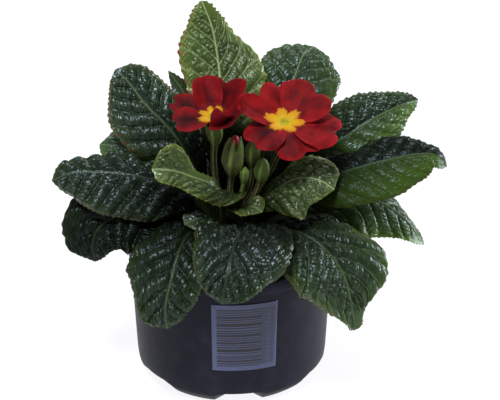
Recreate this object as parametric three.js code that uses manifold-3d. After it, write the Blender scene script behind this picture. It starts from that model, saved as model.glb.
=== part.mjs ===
// A primrose growing in a plain nursery pot: pot, soil, printed panel, crown, leaves, blooms and buds.
// Millimetres, +Z up. The origin is the middle of the pot's foot, on the surface it stands on.
import * as THREE from "three";
import { mergeVertices } from "three/addons/utils/BufferGeometryUtils.js";
import Module from "manifold-3d";

// Driving dimensions, mm.
const POT_RIM_R = 53.2;
const POT_HEIGHT = 72;
const POT_RIM_BAND = 7;
const POT_WALL = 1.2;
const POT_WALL_TOP_R = 52;
const POT_WALL_LOW_R = 49.1;
const POT_SHOULDER_Z = 12;
const POT_FOOT_R = 43;
const FOOT_NOTCHES = 6;
const FOOT_NOTCH_TURN = -83.5;
const FOOT_NOTCH_DEEP = 3;
const FOOT_NOTCH_FLAT = 13;
const FOOT_NOTCH_FLANK = 12;
const FLOOR_Z = 4.2;
const FLOOR_THICK = 1.4;
const FLOOR_BOSS_R = 6;
const DRAIN_R = 3.5;
const DRAIN_RING_R = 24;
const SOIL_TOP = 63;
const SOIL_GAP = 0.3;
const SOIL_LUMP = 1.1;
const CROWN_R = 9.3;
const CROWN_LOW = 57;
const CROWN_TOP = 81;
const SEAT_GAP = 0.3;
const PANEL_TURN_FROM = -100.5;
const PANEL_TURN_TO = -60.8;
const PANEL_LOW = 21;
const PANEL_TALL = 39.6;
const PANEL_THICK = 0.4;
const BLADE_THICK = 0.8;
const RIB_DEEP = 1.1;
const VEIN_RAKE = 0.7;
const PETAL_THICK = 0.7;
const EYE_THICK = 0.6;

const wasm = await Module();
wasm.setup();

const group = new THREE.Group();
group.name = "potted_primrose";

const V = (x, y, z) => new THREE.Vector3(x, y, z);
const TURN = Math.PI / 180;

function finish(colour, roughness) {
  return new THREE.MeshStandardMaterial({ color: colour, roughness, metalness: 0 });
}

const PLASTIC = finish(0x17181d, 0.35);
const PEAT = finish(0x2a1d14, 0.95);
const PRINT = finish(0xb9b6c6, 0.6);
const CROWN_SKIN = finish(0x6d7a45, 0.7);
const LEAF_OLD = finish(0x1f4326, 0.4);
const LEAF_YOUNG = finish(0x4d7a30, 0.45);
const PETAL_RED = finish(0xa5121c, 0.55);
const EYE_YELLOW = finish(0xeec023, 0.6);
const STALK_GREEN = finish(0x5b7340, 0.6);

function addNode(name, geometry, material) {
  const mesh = new THREE.Mesh(geometry, material);
  mesh.name = name;
  group.add(mesh);
}

function toSolid(geometry) {
  const plain = geometry.clone();
  plain.deleteAttribute("normal");
  plain.deleteAttribute("uv");
  const merged = mergeVertices(plain, 1e-4);
  return new wasm.Manifold(
    new wasm.Mesh({
      numProp: 3,
      vertProperties: new Float32Array(merged.attributes.position.array),
      triVerts: new Uint32Array(merged.index.array),
    }),
  );
}

function fromSolid(solid) {
  const mesh = solid.getMesh();
  const geometry = new THREE.BufferGeometry();
  geometry.setAttribute("position", new THREE.BufferAttribute(mesh.vertProperties, 3));
  geometry.setIndex(new THREE.BufferAttribute(mesh.triVerts, 1));
  geometry.computeVertexNormals();
  return geometry;
}

function joined(solids) {
  return solids.reduce((sum, next) => sum.add(next));
}

function indexed(points, faces) {
  const geometry = new THREE.BufferGeometry();
  const flat = points.flatMap((p) => [p.x, p.y, p.z]);
  geometry.setAttribute("position", new THREE.Float32BufferAttribute(flat, 3));
  geometry.setIndex(faces);
  geometry.computeVertexNormals();
  return geometry;
}

// A closed body from rings of equal count, one after another, each ring closed by a middle point.
function ringBody(rings, first, last) {
  const count = rings[0].length;
  const points = rings.flat();
  const faces = [];
  for (let i = 0; i + 1 < rings.length; i++) {
    for (let j = 0; j < count; j++) {
      const a = i * count + j;
      const b = i * count + ((j + 1) % count);
      faces.push(a, b, b + count, a, b + count, a + count);
    }
  }
  const low = points.length;
  points.push(first);
  points.push(last);
  const lastRow = (rings.length - 1) * count;
  for (let j = 0; j < count; j++) {
    const next = (j + 1) % count;
    faces.push(low, next, j);
    faces.push(low + 1, lastRow + j, lastRow + next);
  }
  return indexed(points, faces);
}

// Values of a table of rows [place, a, b, ...] at any place, without overshoot between rows.
function between(rows, place) {
  const last = rows.length - 1;
  if (place <= rows[0][0]) return rows[0].slice(1);
  if (place >= rows[last][0]) return rows[last].slice(1);
  let k = 0;
  while (rows[k + 1][0] < place) k++;
  const run = (i) => rows[i + 1][0] - rows[i][0];
  const grade = (i, c) => (rows[i + 1][c] - rows[i][c]) / run(i);
  const slope = (i, c) => {
    if (i === 0) return grade(0, c);
    if (i === last) return grade(last - 1, c);
    const before = grade(i - 1, c);
    const after = grade(i, c);
    return before * after <= 0 ? 0 : (2 * before * after) / (before + after);
  };
  const t = (place - rows[k][0]) / run(k);
  const values = [];
  for (let c = 1; c < rows[0].length; c++) {
    const rise = rows[k + 1][c] - rows[k][c];
    const s0 = slope(k, c) * run(k);
    const s1 = slope(k + 1, c) * run(k);
    const bend = t * (1 - t) * ((1 - t) * (s0 - rise) - t * (s1 - rise));
    values.push(rows[k][c] + rise * t + bend);
  }
  return values;
}

// A sheet with two faces, given as columns from base to tip. Each point holds its place and both faces.
// Every column ends at one shared tip point when the sheet is pointed.
function sheet(columns, pointed) {
  const points = [];
  const faces = [];
  const top = [];
  const bottom = [];
  const tip = {};
  columns.forEach((column, c) => {
    top.push([]);
    bottom.push([]);
    column.forEach((spot, i) => {
      const shared = pointed && i === column.length - 1;
      if (shared && tip.top !== undefined) {
        top[c].push(tip.top);
        bottom[c].push(tip.bottom);
        return;
      }
      top[c].push(points.push(spot.top) - 1);
      bottom[c].push(points.push(spot.bottom) - 1);
      if (shared) {
        tip.top = top[c][i];
        tip.bottom = bottom[c][i];
      }
    });
  });
  const face = (a, b, c) => {
    if (a !== b && b !== c && c !== a) faces.push(a, b, c);
  };
  const pair = (c1, i1, c2, i2, c3, i3) => {
    face(top[c1][i1], top[c2][i2], top[c3][i3]);
    face(bottom[c1][i1], bottom[c3][i3], bottom[c2][i2]);
  };
  const wall = (c1, i1, c2, i2) => {
    face(top[c1][i1], bottom[c1][i1], bottom[c2][i2]);
    face(top[c1][i1], bottom[c2][i2], top[c2][i2]);
  };
  for (let c = 0; c + 1 < columns.length; c++) {
    const left = columns[c];
    const right = columns[c + 1];
    let i = 0;
    let j = 0;
    while (i + 1 < left.length || j + 1 < right.length) {
      const leftNext = i + 1 < left.length ? left[i + 1].place : Infinity;
      const rightNext = j + 1 < right.length ? right[j + 1].place : Infinity;
      const leftFirst = c * 2 < columns.length - 1 ? leftNext < rightNext : leftNext <= rightNext;
      if (leftFirst) {
        pair(c, i, c + 1, j, c, i + 1);
        i++;
      } else {
        pair(c, i, c + 1, j, c + 1, j + 1);
        j++;
      }
    }
    wall(c, 0, c + 1, 0);
    if (!pointed) wall(c + 1, right.length - 1, c, left.length - 1);
  }
  const end = columns.length - 1;
  for (let i = 0; i + 1 < columns[end].length; i++) wall(end, i, end, i + 1);
  for (let i = 0; i + 1 < columns[0].length; i++) wall(0, i + 1, 0, i);
  return indexed(points, faces);
}

// ---------------------------------------------------------------- pot
const POT_TURNS = 48;

function notchRise(angle) {
  const pitch = 360 / FOOT_NOTCHES;
  const off = ((((angle - FOOT_NOTCH_TURN) % pitch) + pitch * 1.5) % pitch) - pitch / 2;
  const along = Math.abs(off) * TURN * POT_FOOT_R;
  const share = (along - FOOT_NOTCH_FLAT / 2) / FOOT_NOTCH_FLANK;
  return FOOT_NOTCH_DEEP * (1 - Math.min(1, Math.max(0, share)));
}

function potRing(radius, z, notchShare) {
  return Array.from({ length: POT_TURNS }, (_, j) => {
    const angle = (j * 360) / POT_TURNS;
    const rise = notchShare * notchRise(angle);
    return V(radius * Math.cos(angle * TURN), radius * Math.sin(angle * TURN), z + rise);
  });
}

function wallRadius(z) {
  const share = (z - POT_SHOULDER_Z) / (POT_HEIGHT - POT_RIM_BAND - POT_SHOULDER_Z);
  return POT_WALL_LOW_R + (POT_WALL_TOP_R - POT_WALL_LOW_R) * share;
}

function potGeometry() {
  const bandLow = POT_HEIGHT - POT_RIM_BAND;
  const rings = [
    potRing(FLOOR_BOSS_R, 0, 0),
    potRing(FLOOR_BOSS_R + 1, FLOOR_Z, 0),
    potRing(POT_FOOT_R - 4.5, FLOOR_Z, 0),
    potRing(POT_FOOT_R - 1.6, 0.0, 1),
    potRing(POT_FOOT_R, 0, 1),
    potRing(POT_FOOT_R + 2.9, 2.4, 0.55),
    potRing(POT_FOOT_R + 5, 6.6, 0.1),
    potRing(wallRadius(POT_SHOULDER_Z), POT_SHOULDER_Z, 0),
    potRing(POT_WALL_TOP_R, bandLow, 0),
    potRing(POT_RIM_R - 0.2, bandLow + 0.4, 0),
    potRing(POT_RIM_R, POT_HEIGHT - 0.8, 0),
    potRing(POT_RIM_R - 0.5, POT_HEIGHT, 0),
    potRing(POT_WALL_TOP_R - 0.6, POT_HEIGHT, 0),
    potRing(POT_WALL_TOP_R - POT_WALL, bandLow, 0),
    potRing(wallRadius(POT_SHOULDER_Z) - POT_WALL, POT_SHOULDER_Z, 0),
    potRing(POT_FOOT_R + 0.4, FLOOR_Z + FLOOR_THICK + 1.6, 0),
    potRing(POT_FOOT_R - 4, FLOOR_Z + FLOOR_THICK, 0),
  ];
  const body = toSolid(ringBody(rings, V(0, 0, 0), V(0, 0, FLOOR_Z + FLOOR_THICK)));
  const drains = [];
  for (let k = 0; k < FOOT_NOTCHES; k++) {
    const angle = (FOOT_NOTCH_TURN + (360 / FOOT_NOTCHES) * (k + 0.5)) * TURN;
    const hole = new THREE.CylinderGeometry(DRAIN_R, DRAIN_R, 12, 8);
    hole.rotateX(90 * TURN);
    hole.translate(DRAIN_RING_R * Math.cos(angle), DRAIN_RING_R * Math.sin(angle), FLOOR_Z);
    drains.push(toSolid(hole));
  }
  return fromSolid(drains.reduce((sum, hole) => sum.subtract(hole), body));
}

// ---------------------------------------------------------------- soil and crown
const SOIL_TURNS = 36;

function soilHeight(x, y) {
  const broad = Math.sin(x * 0.13 + 1.2) * Math.cos(y * 0.11 - 0.5);
  const lumps = Math.sin(x * 0.61 + y * 0.23) * Math.sin(y * 0.53 - x * 0.31 + 2);
  return SOIL_TOP + SOIL_LUMP * (0.5 * broad + 0.8 * lumps);
}

function soilRing(radius, z) {
  return Array.from({ length: SOIL_TURNS }, (_, j) => {
    const angle = (j / SOIL_TURNS) * 360 * TURN;
    const x = radius * Math.cos(angle);
    const y = radius * Math.sin(angle);
    return V(x, y, z === undefined ? soilHeight(x, y) : z);
  });
}

function soilGeometry() {
  const floor = FLOOR_Z + FLOOR_THICK + SOIL_GAP;
  const inside = (z) => wallRadius(z) - POT_WALL - SOIL_GAP - 0.15;
  const rings = [
    soilRing(20, floor),
    soilRing(POT_FOOT_R - 4.6, floor),
    soilRing(POT_FOOT_R - 0.3, floor + 1.9),
    soilRing(inside(POT_SHOULDER_Z) - 0.4, POT_SHOULDER_Z + 1.2),
    soilRing(inside(SOIL_TOP - 1.5), SOIL_TOP - 1.5),
    soilRing(46.5),
    soilRing(40),
    soilRing(33),
    soilRing(26),
    soilRing(19),
    soilRing(12.5),
  ];
  const body = toSolid(ringBody(rings, V(0, 0, floor), V(0, 0, SOIL_TOP)));
  const holeR = CROWN_R + SEAT_GAP;
  const hole = new THREE.CylinderGeometry(holeR, holeR, 20, 32);
  hole.rotateX(90 * TURN);
  hole.translate(0, 0, CROWN_LOW - SEAT_GAP + 10);
  return fromSolid(body.subtract(toSolid(hole)));
}

function crownGeometry() {
  const profile = [
    [0, CROWN_LOW],
    [CROWN_R - 1, CROWN_LOW],
    [CROWN_R - 0.4, CROWN_LOW + 1],
    [CROWN_R - 0.1, 66],
    [CROWN_R, 70],
    [CROWN_R, 78],
    [CROWN_R - 1, 80],
    [CROWN_R - 2.8, CROWN_TOP],
    [0, CROWN_TOP],
  ].map(([r, z]) => new THREE.Vector2(r, z));
  const lathe = new THREE.LatheGeometry(profile, 24);
  lathe.rotateX(90 * TURN);
  return fromSolid(toSolid(lathe));
}

// ---------------------------------------------------------------- printed panel on the pot's wall
function panelGeometry() {
  const columns = [];
  const steps = 10;
  for (let c = 0; c <= steps; c++) {
    const angle = (PANEL_TURN_FROM + ((PANEL_TURN_TO - PANEL_TURN_FROM) * c) / steps) * TURN;
    const column = [];
    for (let i = 0; i <= 2; i++) {
      const z = PANEL_LOW + (PANEL_TALL * i) / 2;
      const radius = wallRadius(z) + SEAT_GAP;
      const at = (r) => V(r * Math.cos(angle), r * Math.sin(angle), z);
      column.push({ place: i / 2, top: at(radius + PANEL_THICK), bottom: at(radius) });
    }
    columns.push(column);
  }
  return sheet(columns, false);
}

// ---------------------------------------------------------------- leaves
// seat: where the stalk meets the crown, as degrees round it and a height.
// spine: midrib from there to the tip. face: which way the upper side looks, as [share, x, y, z].
// half: [share, left, right] half widths seen with the tip away and the upper side up.
// fold and curl: degrees at the midrib and over each half, as [share, left, right].
// bare: the share from the base that has no teeth. young: one of the fresh inner leaves.
// wave, ripples and phase: height, number and start of the edge's waves. tooth and pleat: mm.
class Leaf {
  constructor(spec) {
    Object.assign(this, { wave: 1.5, ripples: 3, phase: 0, tooth: 0.7, pleat: 0.9, rows: 14 }, spec);
    const [azimuth, height] = this.seat;
    const radial = V(Math.cos(azimuth * TURN), Math.sin(azimuth * TURN), 0);
    const seat = radial.clone().multiplyScalar(CROWN_R + SEAT_GAP);
    seat.z = height;
    this.face = [[0, -radial.x, -radial.y, 0.1], ...this.face];
    this.curve = new THREE.CatmullRomCurve3(
      [seat, ...this.spine.map((p) => V(...p))],
      false,
      "centripetal",
    );
    this.length = this.curve.getLength();
  }

  // Both faces of the blade at a share q from base to tip and a place v across, from -1 to 1.
  // Rows rake forward from midrib to edge, as side veins do. outward widens the edge by a tooth,
  // and crest, up or down, puckers the blade between its side veins.
  spot(q, v, outward, crest) {
    const side = v < 0 ? 0 : 1;
    const across = Math.abs(v);
    const halfHere = between(this.half, q)[side];
    const left = 1 - q;
    const rake = left > 1e-6 ? Math.exp((-VEIN_RAKE * across * halfHere) / (this.length * left)) : 0;
    const share = 1 - left * rake;
    const centre = this.curve.getPointAt(share);
    const along = this.curve.getTangentAt(share);
    const faceAt = V(...between(this.face, share));
    const right = along.clone().cross(faceAt).normalize();
    const up = right.clone().cross(along);
    const half = between(this.half, share)[side] + outward;
    const fold = between(this.fold, share)[side] * TURN;
    const curl = between(this.curl, share)[side] * TURN;
    const bend = Math.abs(curl) < 1e-3 ? 1e-3 : curl;
    const flat = (half / bend) * (Math.sin(fold + bend * across) - Math.sin(fold));
    const rise = (half / bend) * (Math.cos(fold) - Math.cos(fold + bend * across));
    const lean = fold + bend * across;
    const sign = side ? 1 : -1;
    const normal = up
      .clone()
      .multiplyScalar(Math.cos(lean))
      .addScaledVector(right, -Math.sin(lean) * sign);
    const swell = Math.min(1, half / 8);
    const swing = Math.sin(share * this.ripples * 2 * Math.PI + this.phase + side * 2.1);
    const relief = crest * this.pleat * Math.sin(Math.min(1, across / 0.6) * (Math.PI / 2));
    const lift = swell * (this.wave * across * across * swing + relief);
    const point = centre
      .clone()
      .addScaledVector(right, flat * sign)
      .addScaledVector(up, rise)
      .addScaledVector(normal, lift);
    const rib = across === 0 ? RIB_DEEP * (1 - 0.8 * share) : 0;
    const stem = Math.max(0, 1 - half / 6) * 0.9 * (1 - share);
    const thick = BLADE_THICK + rib + stem;
    return { place: q, top: point, bottom: point.clone().addScaledVector(normal, -thick) };
  }

  geometry() {
    const across = this.columns ?? [-1, -0.5, 0, 0.5, 1];
    const columns = across.map((v) => {
      const column = [];
      const edge = Math.abs(v) === 1;
      for (let i = 0; i <= this.rows; i++) {
        const q = i / this.rows;
        const crest = i % 2 === 0 ? -0.5 : 0.5;
        column.push(this.spot(q, i === this.rows ? 0 : v, 0, edge ? 0.4 * crest : crest));
        const toothed = edge && q > this.bare && i < this.rows;
        if (toothed) column.push(this.spot(q + 0.62 / this.rows, v, this.tooth, 0));
      }
      return column;
    });
    return sheet(columns, true);
  }
}

const WIDE_COLUMNS = [-1, -0.7, -0.35, 0, 0.35, 0.7, 1];

const LEAVES = [
  {
    name: "leaf_tall_back",
    seat: [86, 73],
    spine: [[-1, 13, 96], [-4, 20, 120], [-5, 28, 141], [-7, 39, 157],
      [-10, 48, 171], [-15.5, 54, 183.6]],
    face: [[0.5, 0.05, -1, 0.4], [1, 0.1, -1, 0.3]],
    half: [[0, 1.9, 1.9], [0.12, 3, 3], [0.24, 6, 9], [0.36, 10, 14], [0.5, 13, 17],
      [0.64, 18, 23], [0.74, 20, 20], [0.84, 18, 10], [0.93, 11, 5], [0.975, 6, 3], [1, 0, 0]],
    fold: [[0, 0, 0], [0.5, 14, 16], [1, 10, 10]],
    curl: [[0, 20, 20], [0.6, -10, -22], [1, -10, -10]],
    tooth: 1.3, bare: 0.4, rows: 16, columns: WIDE_COLUMNS, young: true,
  },
  {
    name: "leaf_round_back",
    seat: [58, 74],
    spine: [[10, 13, 94], [18, 20, 114], [26, 28, 132], [33, 38, 147],
      [38, 50, 155], [44, 62, 155]],
    face: [[0.5, -0.1, -0.9, 0.5], [0.8, 0.1, -0.5, 1], [1, 0.2, -0.3, 1]],
    half: [[0, 1.9, 1.9], [0.12, 3.4, 3.4], [0.24, 8, 6], [0.36, 11, 9], [0.5, 14, 13],
      [0.65, 19, 22], [0.8, 19, 24], [0.92, 13, 17], [0.98, 6, 8], [1, 0, 0]],
    fold: [[0, 0, 0], [0.5, 12, 12], [1, 0, 0]],
    curl: [[0, 20, 20], [0.6, -20, -30], [1, -20, -20]],
    bare: 0.45, columns: WIDE_COLUMNS,
  },
  {
    name: "leaf_left_upper",
    seat: [139, 74],
    spine: [[-12, 10, 93], [-21, 13, 112], [-33, 19, 127], [-44, 24, 137],
      [-53, 30, 147], [-60, 34, 153]],
    face: [[0.5, 0.2, -0.9, 0.5], [1, 0.1, -0.7, 0.7]],
    half: [[0, 1.9, 1.9], [0.28, 3.6, 3.6], [0.42, 11, 11], [0.58, 23, 15], [0.75, 22, 16],
      [0.88, 15, 13], [0.96, 8, 8], [1, 0, 0]],
    fold: [[0, 0, 0], [0.4, 10, 10], [1, 4, 4]],
    curl: [[0, 20, 20], [0.5, -20, -14], [1, -20, -14]],
    bare: 0.38, columns: WIDE_COLUMNS, phase: 1,
  },
  {
    name: "leaf_spike_back",
    seat: [112, 74],
    spine: [[-8, 18, 98], [-16, 30, 121], [-24, 39, 136], [-33, 45, 148]],
    face: [[1, 0.4, -0.9, 0.3]],
    half: [[0, 1.9, 1.9], [0.4, 3.4, 3.4], [0.65, 8, 8], [0.85, 5, 5], [0.95, 2, 2], [1, 0, 0]],
    fold: [[0, 0, 0], [0.5, 12, 12], [1, 10, 10]],
    curl: [[0, 20, 20], [0.6, -10, -10], [1, -10, -10]],
    bare: 0.5, rows: 10,
  },
  {
    name: "leaf_left_mid",
    seat: [166, 73],
    spine: [[-14, 5, 86], [-24, 9, 98], [-38, 15, 108], [-54, 21, 114],
      [-69, 26, 114]],
    face: [[0.35, 0.5, -0.3, 0.9], [1, -0.2, -0.4, 1]],
    half: [[0, 1.9, 1.9], [0.28, 3.6, 3.6], [0.45, 10, 12], [0.65, 15, 19], [0.85, 12, 14],
      [0.95, 7, 8], [1, 0, 0]],
    fold: [[0, 0, 0], [0.4, 4, 10], [1, 4, 10]],
    curl: [[0, 20, 20], [0.5, -20, -10], [1, -24, -10]],
    bare: 0.4, phase: 2,
  },
  {
    name: "leaf_left_wide",
    seat: [193, 74],
    spine: [[-13, -4, 87], [-21, -6, 98], [-33, -7, 106], [-48, -7, 111],
      [-66, -7, 113], [-80, -8, 113], [-91, -9, 109]],
    face: [[0.3, 0.6, -0.2, 0.8], [1, -0.2, -0.4, 1]],
    half: [[0, 1.9, 1.9], [0.18, 3.6, 3.6], [0.34, 18, 9], [0.5, 25, 14], [0.7, 24, 15],
      [0.85, 18, 12], [0.95, 10, 7], [1, 0, 0]],
    fold: [[0, 0, 0], [0.4, -4, 0], [1, -4, 2]],
    curl: [[0, 20, 20], [0.5, -38, -14], [1, -34, -14]],
    bare: 0.28, rows: 14, columns: WIDE_COLUMNS,
  },
  {
    name: "leaf_left_drop",
    seat: [207, 68],
    spine: [[-14, -8, 79], [-26, -12, 89], [-42, -16, 94], [-57, -19, 94],
      [-67, -22, 88], [-70, -24, 80], [-69, -25, 71]],
    face: [[0.35, 0.3, -0.3, 1], [0.7, -0.5, -0.8, 0.5], [1, -0.4, -1, 0]],
    half: [[0, 2, 2], [0.2, 4, 4], [0.4, 11, 14], [0.6, 20, 20], [0.78, 20, 21],
      [0.92, 12, 14], [0.97, 6, 6], [1, 0, 0]],
    fold: [[0, 0, 0], [0.4, 4, 4], [0.7, 0, 14], [1, 4, 4]],
    curl: [[0, 20, 20], [0.5, -20, -10], [1, -10, -20]],
    bare: 0.3, phase: 1,
  },
  {
    name: "leaf_front_left",
    seat: [238, 68],
    spine: [[-9, -14, 79], [-15, -23, 88], [-20, -33, 92], [-25, -45, 88],
      [-29, -57, 77], [-32, -63, 64], [-31, -63, 53]],
    face: [[0.3, 0.1, 0.1, 1], [0.6, -0.2, -0.6, 0.8], [1, -0.1, -1, 0.1]],
    half: [[0, 2, 2], [0.16, 4, 4], [0.3, 8, 10], [0.5, 13, 23], [0.7, 15, 25],
      [0.87, 13, 16], [0.96, 8, 9], [1, 0, 0]],
    fold: [[0, 0, 0], [0.4, -10, 4], [0.8, -4, 4], [1, 4, 4]],
    curl: [[0, 20, 20], [0.5, -30, -30], [1, -16, -20]],
    bare: 0.24, columns: WIDE_COLUMNS,
  },
  {
    name: "leaf_front",
    seat: [275, 67],
    spine: [[2, -16, 78], [4, -25, 89], [5, -38, 96], [2, -53, 93],
      [-1, -64, 86], [-3, -70, 76], [-4, -71, 71]],
    face: [[0.3, 0, 0.1, 1], [0.6, 0, -0.6, 0.8], [1, 0, -1, 0.2]],
    half: [[0, 2, 2], [0.18, 4, 4], [0.32, 17, 13], [0.5, 28, 21], [0.7, 27, 20],
      [0.87, 19, 14], [0.96, 10, 8], [1, 0, 0]],
    fold: [[0, 0, 0], [0.4, 4, 6], [1, 4, 4]],
    curl: [[0, 20, 20], [0.5, -26, -22], [1, -20, -20]],
    bare: 0.26, columns: WIDE_COLUMNS, phase: 2,
  },
  {
    name: "leaf_front_right",
    seat: [313, 68],
    spine: [[13, -13, 79], [23, -21, 87], [35, -30, 90], [47, -38, 85],
      [56, -43, 74], [60, -46, 61], [63, -46, 43]],
    face: [[0.3, -0.1, 0.1, 1], [0.6, 0.3, -0.5, 0.8], [1, 0.3, -1, 0.1]],
    half: [[0, 2, 2], [0.16, 4, 4], [0.3, 18, 16], [0.5, 26, 26], [0.68, 26, 27],
      [0.8, 19, 19], [0.88, 8, 11], [0.94, 4, 6], [0.98, 3, 3.5], [1, 0, 0]],
    fold: [[0, 0, 0], [0.4, 0, 0], [0.8, 10, 10], [1, 30, 30]],
    curl: [[0, 20, 20], [0.5, -22, -30], [1, 10, 10]],
    bare: 0.26, rows: 14, columns: WIDE_COLUMNS,
  },
  {
    name: "leaf_right_low",
    seat: [346, 68],
    spine: [[16, -2, 79], [28, -1, 88], [42, 2, 93], [58, 4, 95], [74, 5, 92],
      [89, 5, 82], [101, 3, 67]],
    face: [[0.35, -0.3, 0, 1], [1, 0.6, -0.3, 0.8]],
    half: [[0, 2, 2], [0.2, 4, 4], [0.32, 9, 12], [0.45, 14, 20], [0.65, 15, 22],
      [0.85, 9, 13], [0.95, 4, 6], [1, 0, 0]],
    fold: [[0, 0, 0], [0.4, 2, -26], [0.8, 2, -20], [1, 2, 2]],
    curl: [[0, 20, 20], [0.5, -20, -20], [1, -16, -16]],
    bare: 0.35, phase: 1,
  },
  {
    name: "leaf_right_wide",
    seat: [0, 75],
    spine: [[15, -3, 89], [26, -6, 101], [41, -8, 109], [58, -8, 114],
      [76, -7, 119], [92, -6, 122], [104, -4, 121], [110, -5, 115]],
    face: [[0.3, -0.5, -0.2, 0.9], [0.9, 0.1, -0.4, 1], [1, 0.8, -0.3, 0.6]],
    half: [[0, 1.9, 1.9], [0.2, 3.6, 3.6], [0.36, 9, 12], [0.52, 13, 20], [0.7, 14, 21],
      [0.84, 12, 15], [0.93, 8, 8], [0.98, 5, 5], [1, 0, 0]],
    fold: [[0, 0, 0], [0.4, 10, -6], [0.8, 10, -6], [1, 0, 0]],
    curl: [[0, 20, 20], [0.5, -10, -34], [1, -16, -30]],
    bare: 0.3, rows: 14, columns: WIDE_COLUMNS,
  },
  {
    name: "leaf_right_upper",
    seat: [29, 75],
    spine: [[15, 8, 90], [26, 11, 103], [41, 11, 114], [57, 12, 123],
      [72, 16, 132], [86, 24, 136], [97, 27, 139]],
    face: [[0.4, -0.3, -0.8, 0.6], [1, 0, -0.8, 0.7]],
    half: [[0, 1.9, 1.9], [0.25, 3.6, 3.6], [0.42, 11, 9], [0.6, 17, 17], [0.78, 15, 16],
      [0.92, 8, 8], [0.97, 4, 4], [1, 0, 0]],
    fold: [[0, 0, 0], [0.4, 8, 8], [1, 8, 8]],
    curl: [[0, 20, 20], [0.5, -12, -12], [1, -10, -10]],
    bare: 0.38, rows: 14, columns: WIDE_COLUMNS, phase: 1,
  },
  {
    name: "leaf_lip",
    seat: [254, 77.5],
    spine: [[-1.8, -10.6, 87], [-1, -13.5, 97], [-3, -19, 107],
      [-9, -24, 114], [-18, -27, 119], [-28, -28, 123], [-39, -28, 124]],
    face: [[0.3, 0.1, 1, 0.4], [0.5, 0.1, -0.2, 1], [1, -0.2, -0.5, 1]],
    half: [[0, 2, 2], [0.2, 5, 5], [0.34, 10, 4], [0.5, 11, 3], [0.68, 9, 3.5],
      [0.78, 8, 8], [0.87, 7.5, 13], [0.95, 6, 9], [1, 0, 0]],
    fold: [[0, 0, 0], [0.3, 10, 10], [0.55, -10, 20], [1, -4, 40]],
    curl: [[0, 20, 20], [0.3, 30, 30], [0.55, -50, 10], [1, -40, 10]],
    bare: 0.34, phase: 2, young: true,
  },
  {
    name: "leaf_inner_right",
    seat: [328, 76],
    spine: [[11, -8, 88], [17, -12, 100], [25, -16, 109], [34, -19, 115],
      [44, -21, 115], [52, -24, 111]],
    face: [[0.35, -0.4, 0.1, 0.9], [1, 0.4, -0.4, 0.9]],
    half: [[0, 1.9, 1.9], [0.2, 4, 3.5], [0.4, 6, 9], [0.56, 9, 17], [0.72, 11, 22],
      [0.86, 13, 20], [0.95, 10, 10], [1, 0, 0]],
    fold: [[0, 0, 0], [0.4, 14, -20], [1, 14, -22]],
    curl: [[0, 20, 20], [0.5, 20, -36], [1, 10, -30]],
    bare: 0.35, young: true,
  },
  {
    name: "leaf_small_centre",
    seat: [289, 74.5],
    spine: [[3, -14, 86], [6, -18, 95], [11, -23, 101], [16, -27, 100]],
    face: [[0.5, 0, 0.2, 1], [1, 0.1, -0.5, 0.9]],
    half: [[0, 2, 2], [0.3, 4, 4], [0.6, 9, 9], [0.85, 8, 8], [0.95, 4, 4], [1, 0, 0]],
    fold: [[0, 0, 0], [0.4, 14, 14], [1, 4, 4]],
    curl: [[0, 20, 20], [0.6, 10, 10], [1, -20, -20]],
    bare: 0.4, rows: 12, young: true,
  },
  {
    name: "leaf_front_under",
    seat: [258, 72.4],
    spine: [[-4.8, -14.8, 83], [-10, -20, 92], [-16, -26, 96], [-23, -31, 95]],
    face: [[0.5, 0, 0, 1], [1, -0.3, -0.4, 1]],
    half: [[0, 1.9, 1.9], [0.3, 4, 4], [0.6, 9, 8], [0.85, 9, 8], [0.95, 5, 4], [1, 0, 0]],
    fold: [[0, 0, 0], [0.5, 4, 4], [1, 4, 4]],
    curl: [[0, 20, 20], [0.6, -14, -14], [1, -14, -14]],
    bare: 0.4, rows: 12,
  },
  {
    name: "leaf_back_low",
    seat: [98, 67.5],
    spine: [[-1, 18, 79], [0, 32, 88], [1, 48, 90], [1, 62, 84], [1, 71, 72],
      [1, 74, 59]],
    face: [[0.35, 0, -0.2, 1], [0.7, 0, 0.6, 0.8], [1, 0, 1, 0.1]],
    half: [[0, 2, 2], [0.2, 4, 4], [0.4, 17, 17], [0.6, 23, 23], [0.8, 19, 19],
      [0.94, 10, 10], [1, 0, 0]],
    fold: [[0, 0, 0], [0.4, 4, 4], [1, 4, 4]],
    curl: [[0, 20, 20], [0.5, -24, -24], [1, -20, -20]],
    bare: 0.3, rows: 12,
  },
  {
    name: "leaf_back_right",
    seat: [43, 68],
    spine: [[15, 14, 82], [28, 25, 92], [43, 37, 95], [57, 47, 89], [65, 54, 77],
      [68, 57, 64]],
    face: [[0.35, -0.1, -0.1, 1], [0.7, 0.4, 0.4, 0.8], [1, 0.7, 0.7, 0.1]],
    half: [[0, 2, 2], [0.2, 4, 4], [0.4, 15, 15], [0.6, 20, 20], [0.8, 17, 17], [0.94, 9, 9],
      [1, 0, 0]],
    fold: [[0, 0, 0], [0.4, 4, 4], [1, 4, 4]],
    curl: [[0, 20, 20], [0.5, -24, -24], [1, -20, -20]],
    bare: 0.3, rows: 12, phase: 2,
  },
  {
    name: "leaf_back_left",
    seat: [149, 67.5],
    spine: [[-17, 12, 79], [-30, 23, 90], [-45, 33, 93], [-58, 43, 87], [-67, 50, 76],
      [-70, 53, 63]],
    face: [[0.35, 0.1, -0.1, 1], [0.7, -0.4, 0.4, 0.8], [1, -0.7, 0.7, 0.1]],
    half: [[0, 2, 2], [0.2, 4, 4], [0.4, 15, 15], [0.6, 20, 20], [0.8, 17, 17], [0.94, 9, 9],
      [1, 0, 0]],
    fold: [[0, 0, 0], [0.4, 4, 4], [1, 4, 4]],
    curl: [[0, 20, 20], [0.5, -24, -24], [1, -20, -20]],
    bare: 0.3, phase: 1,
  },
  {
    name: "leaf_back_fill_left",
    seat: [124, 70.5],
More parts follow.
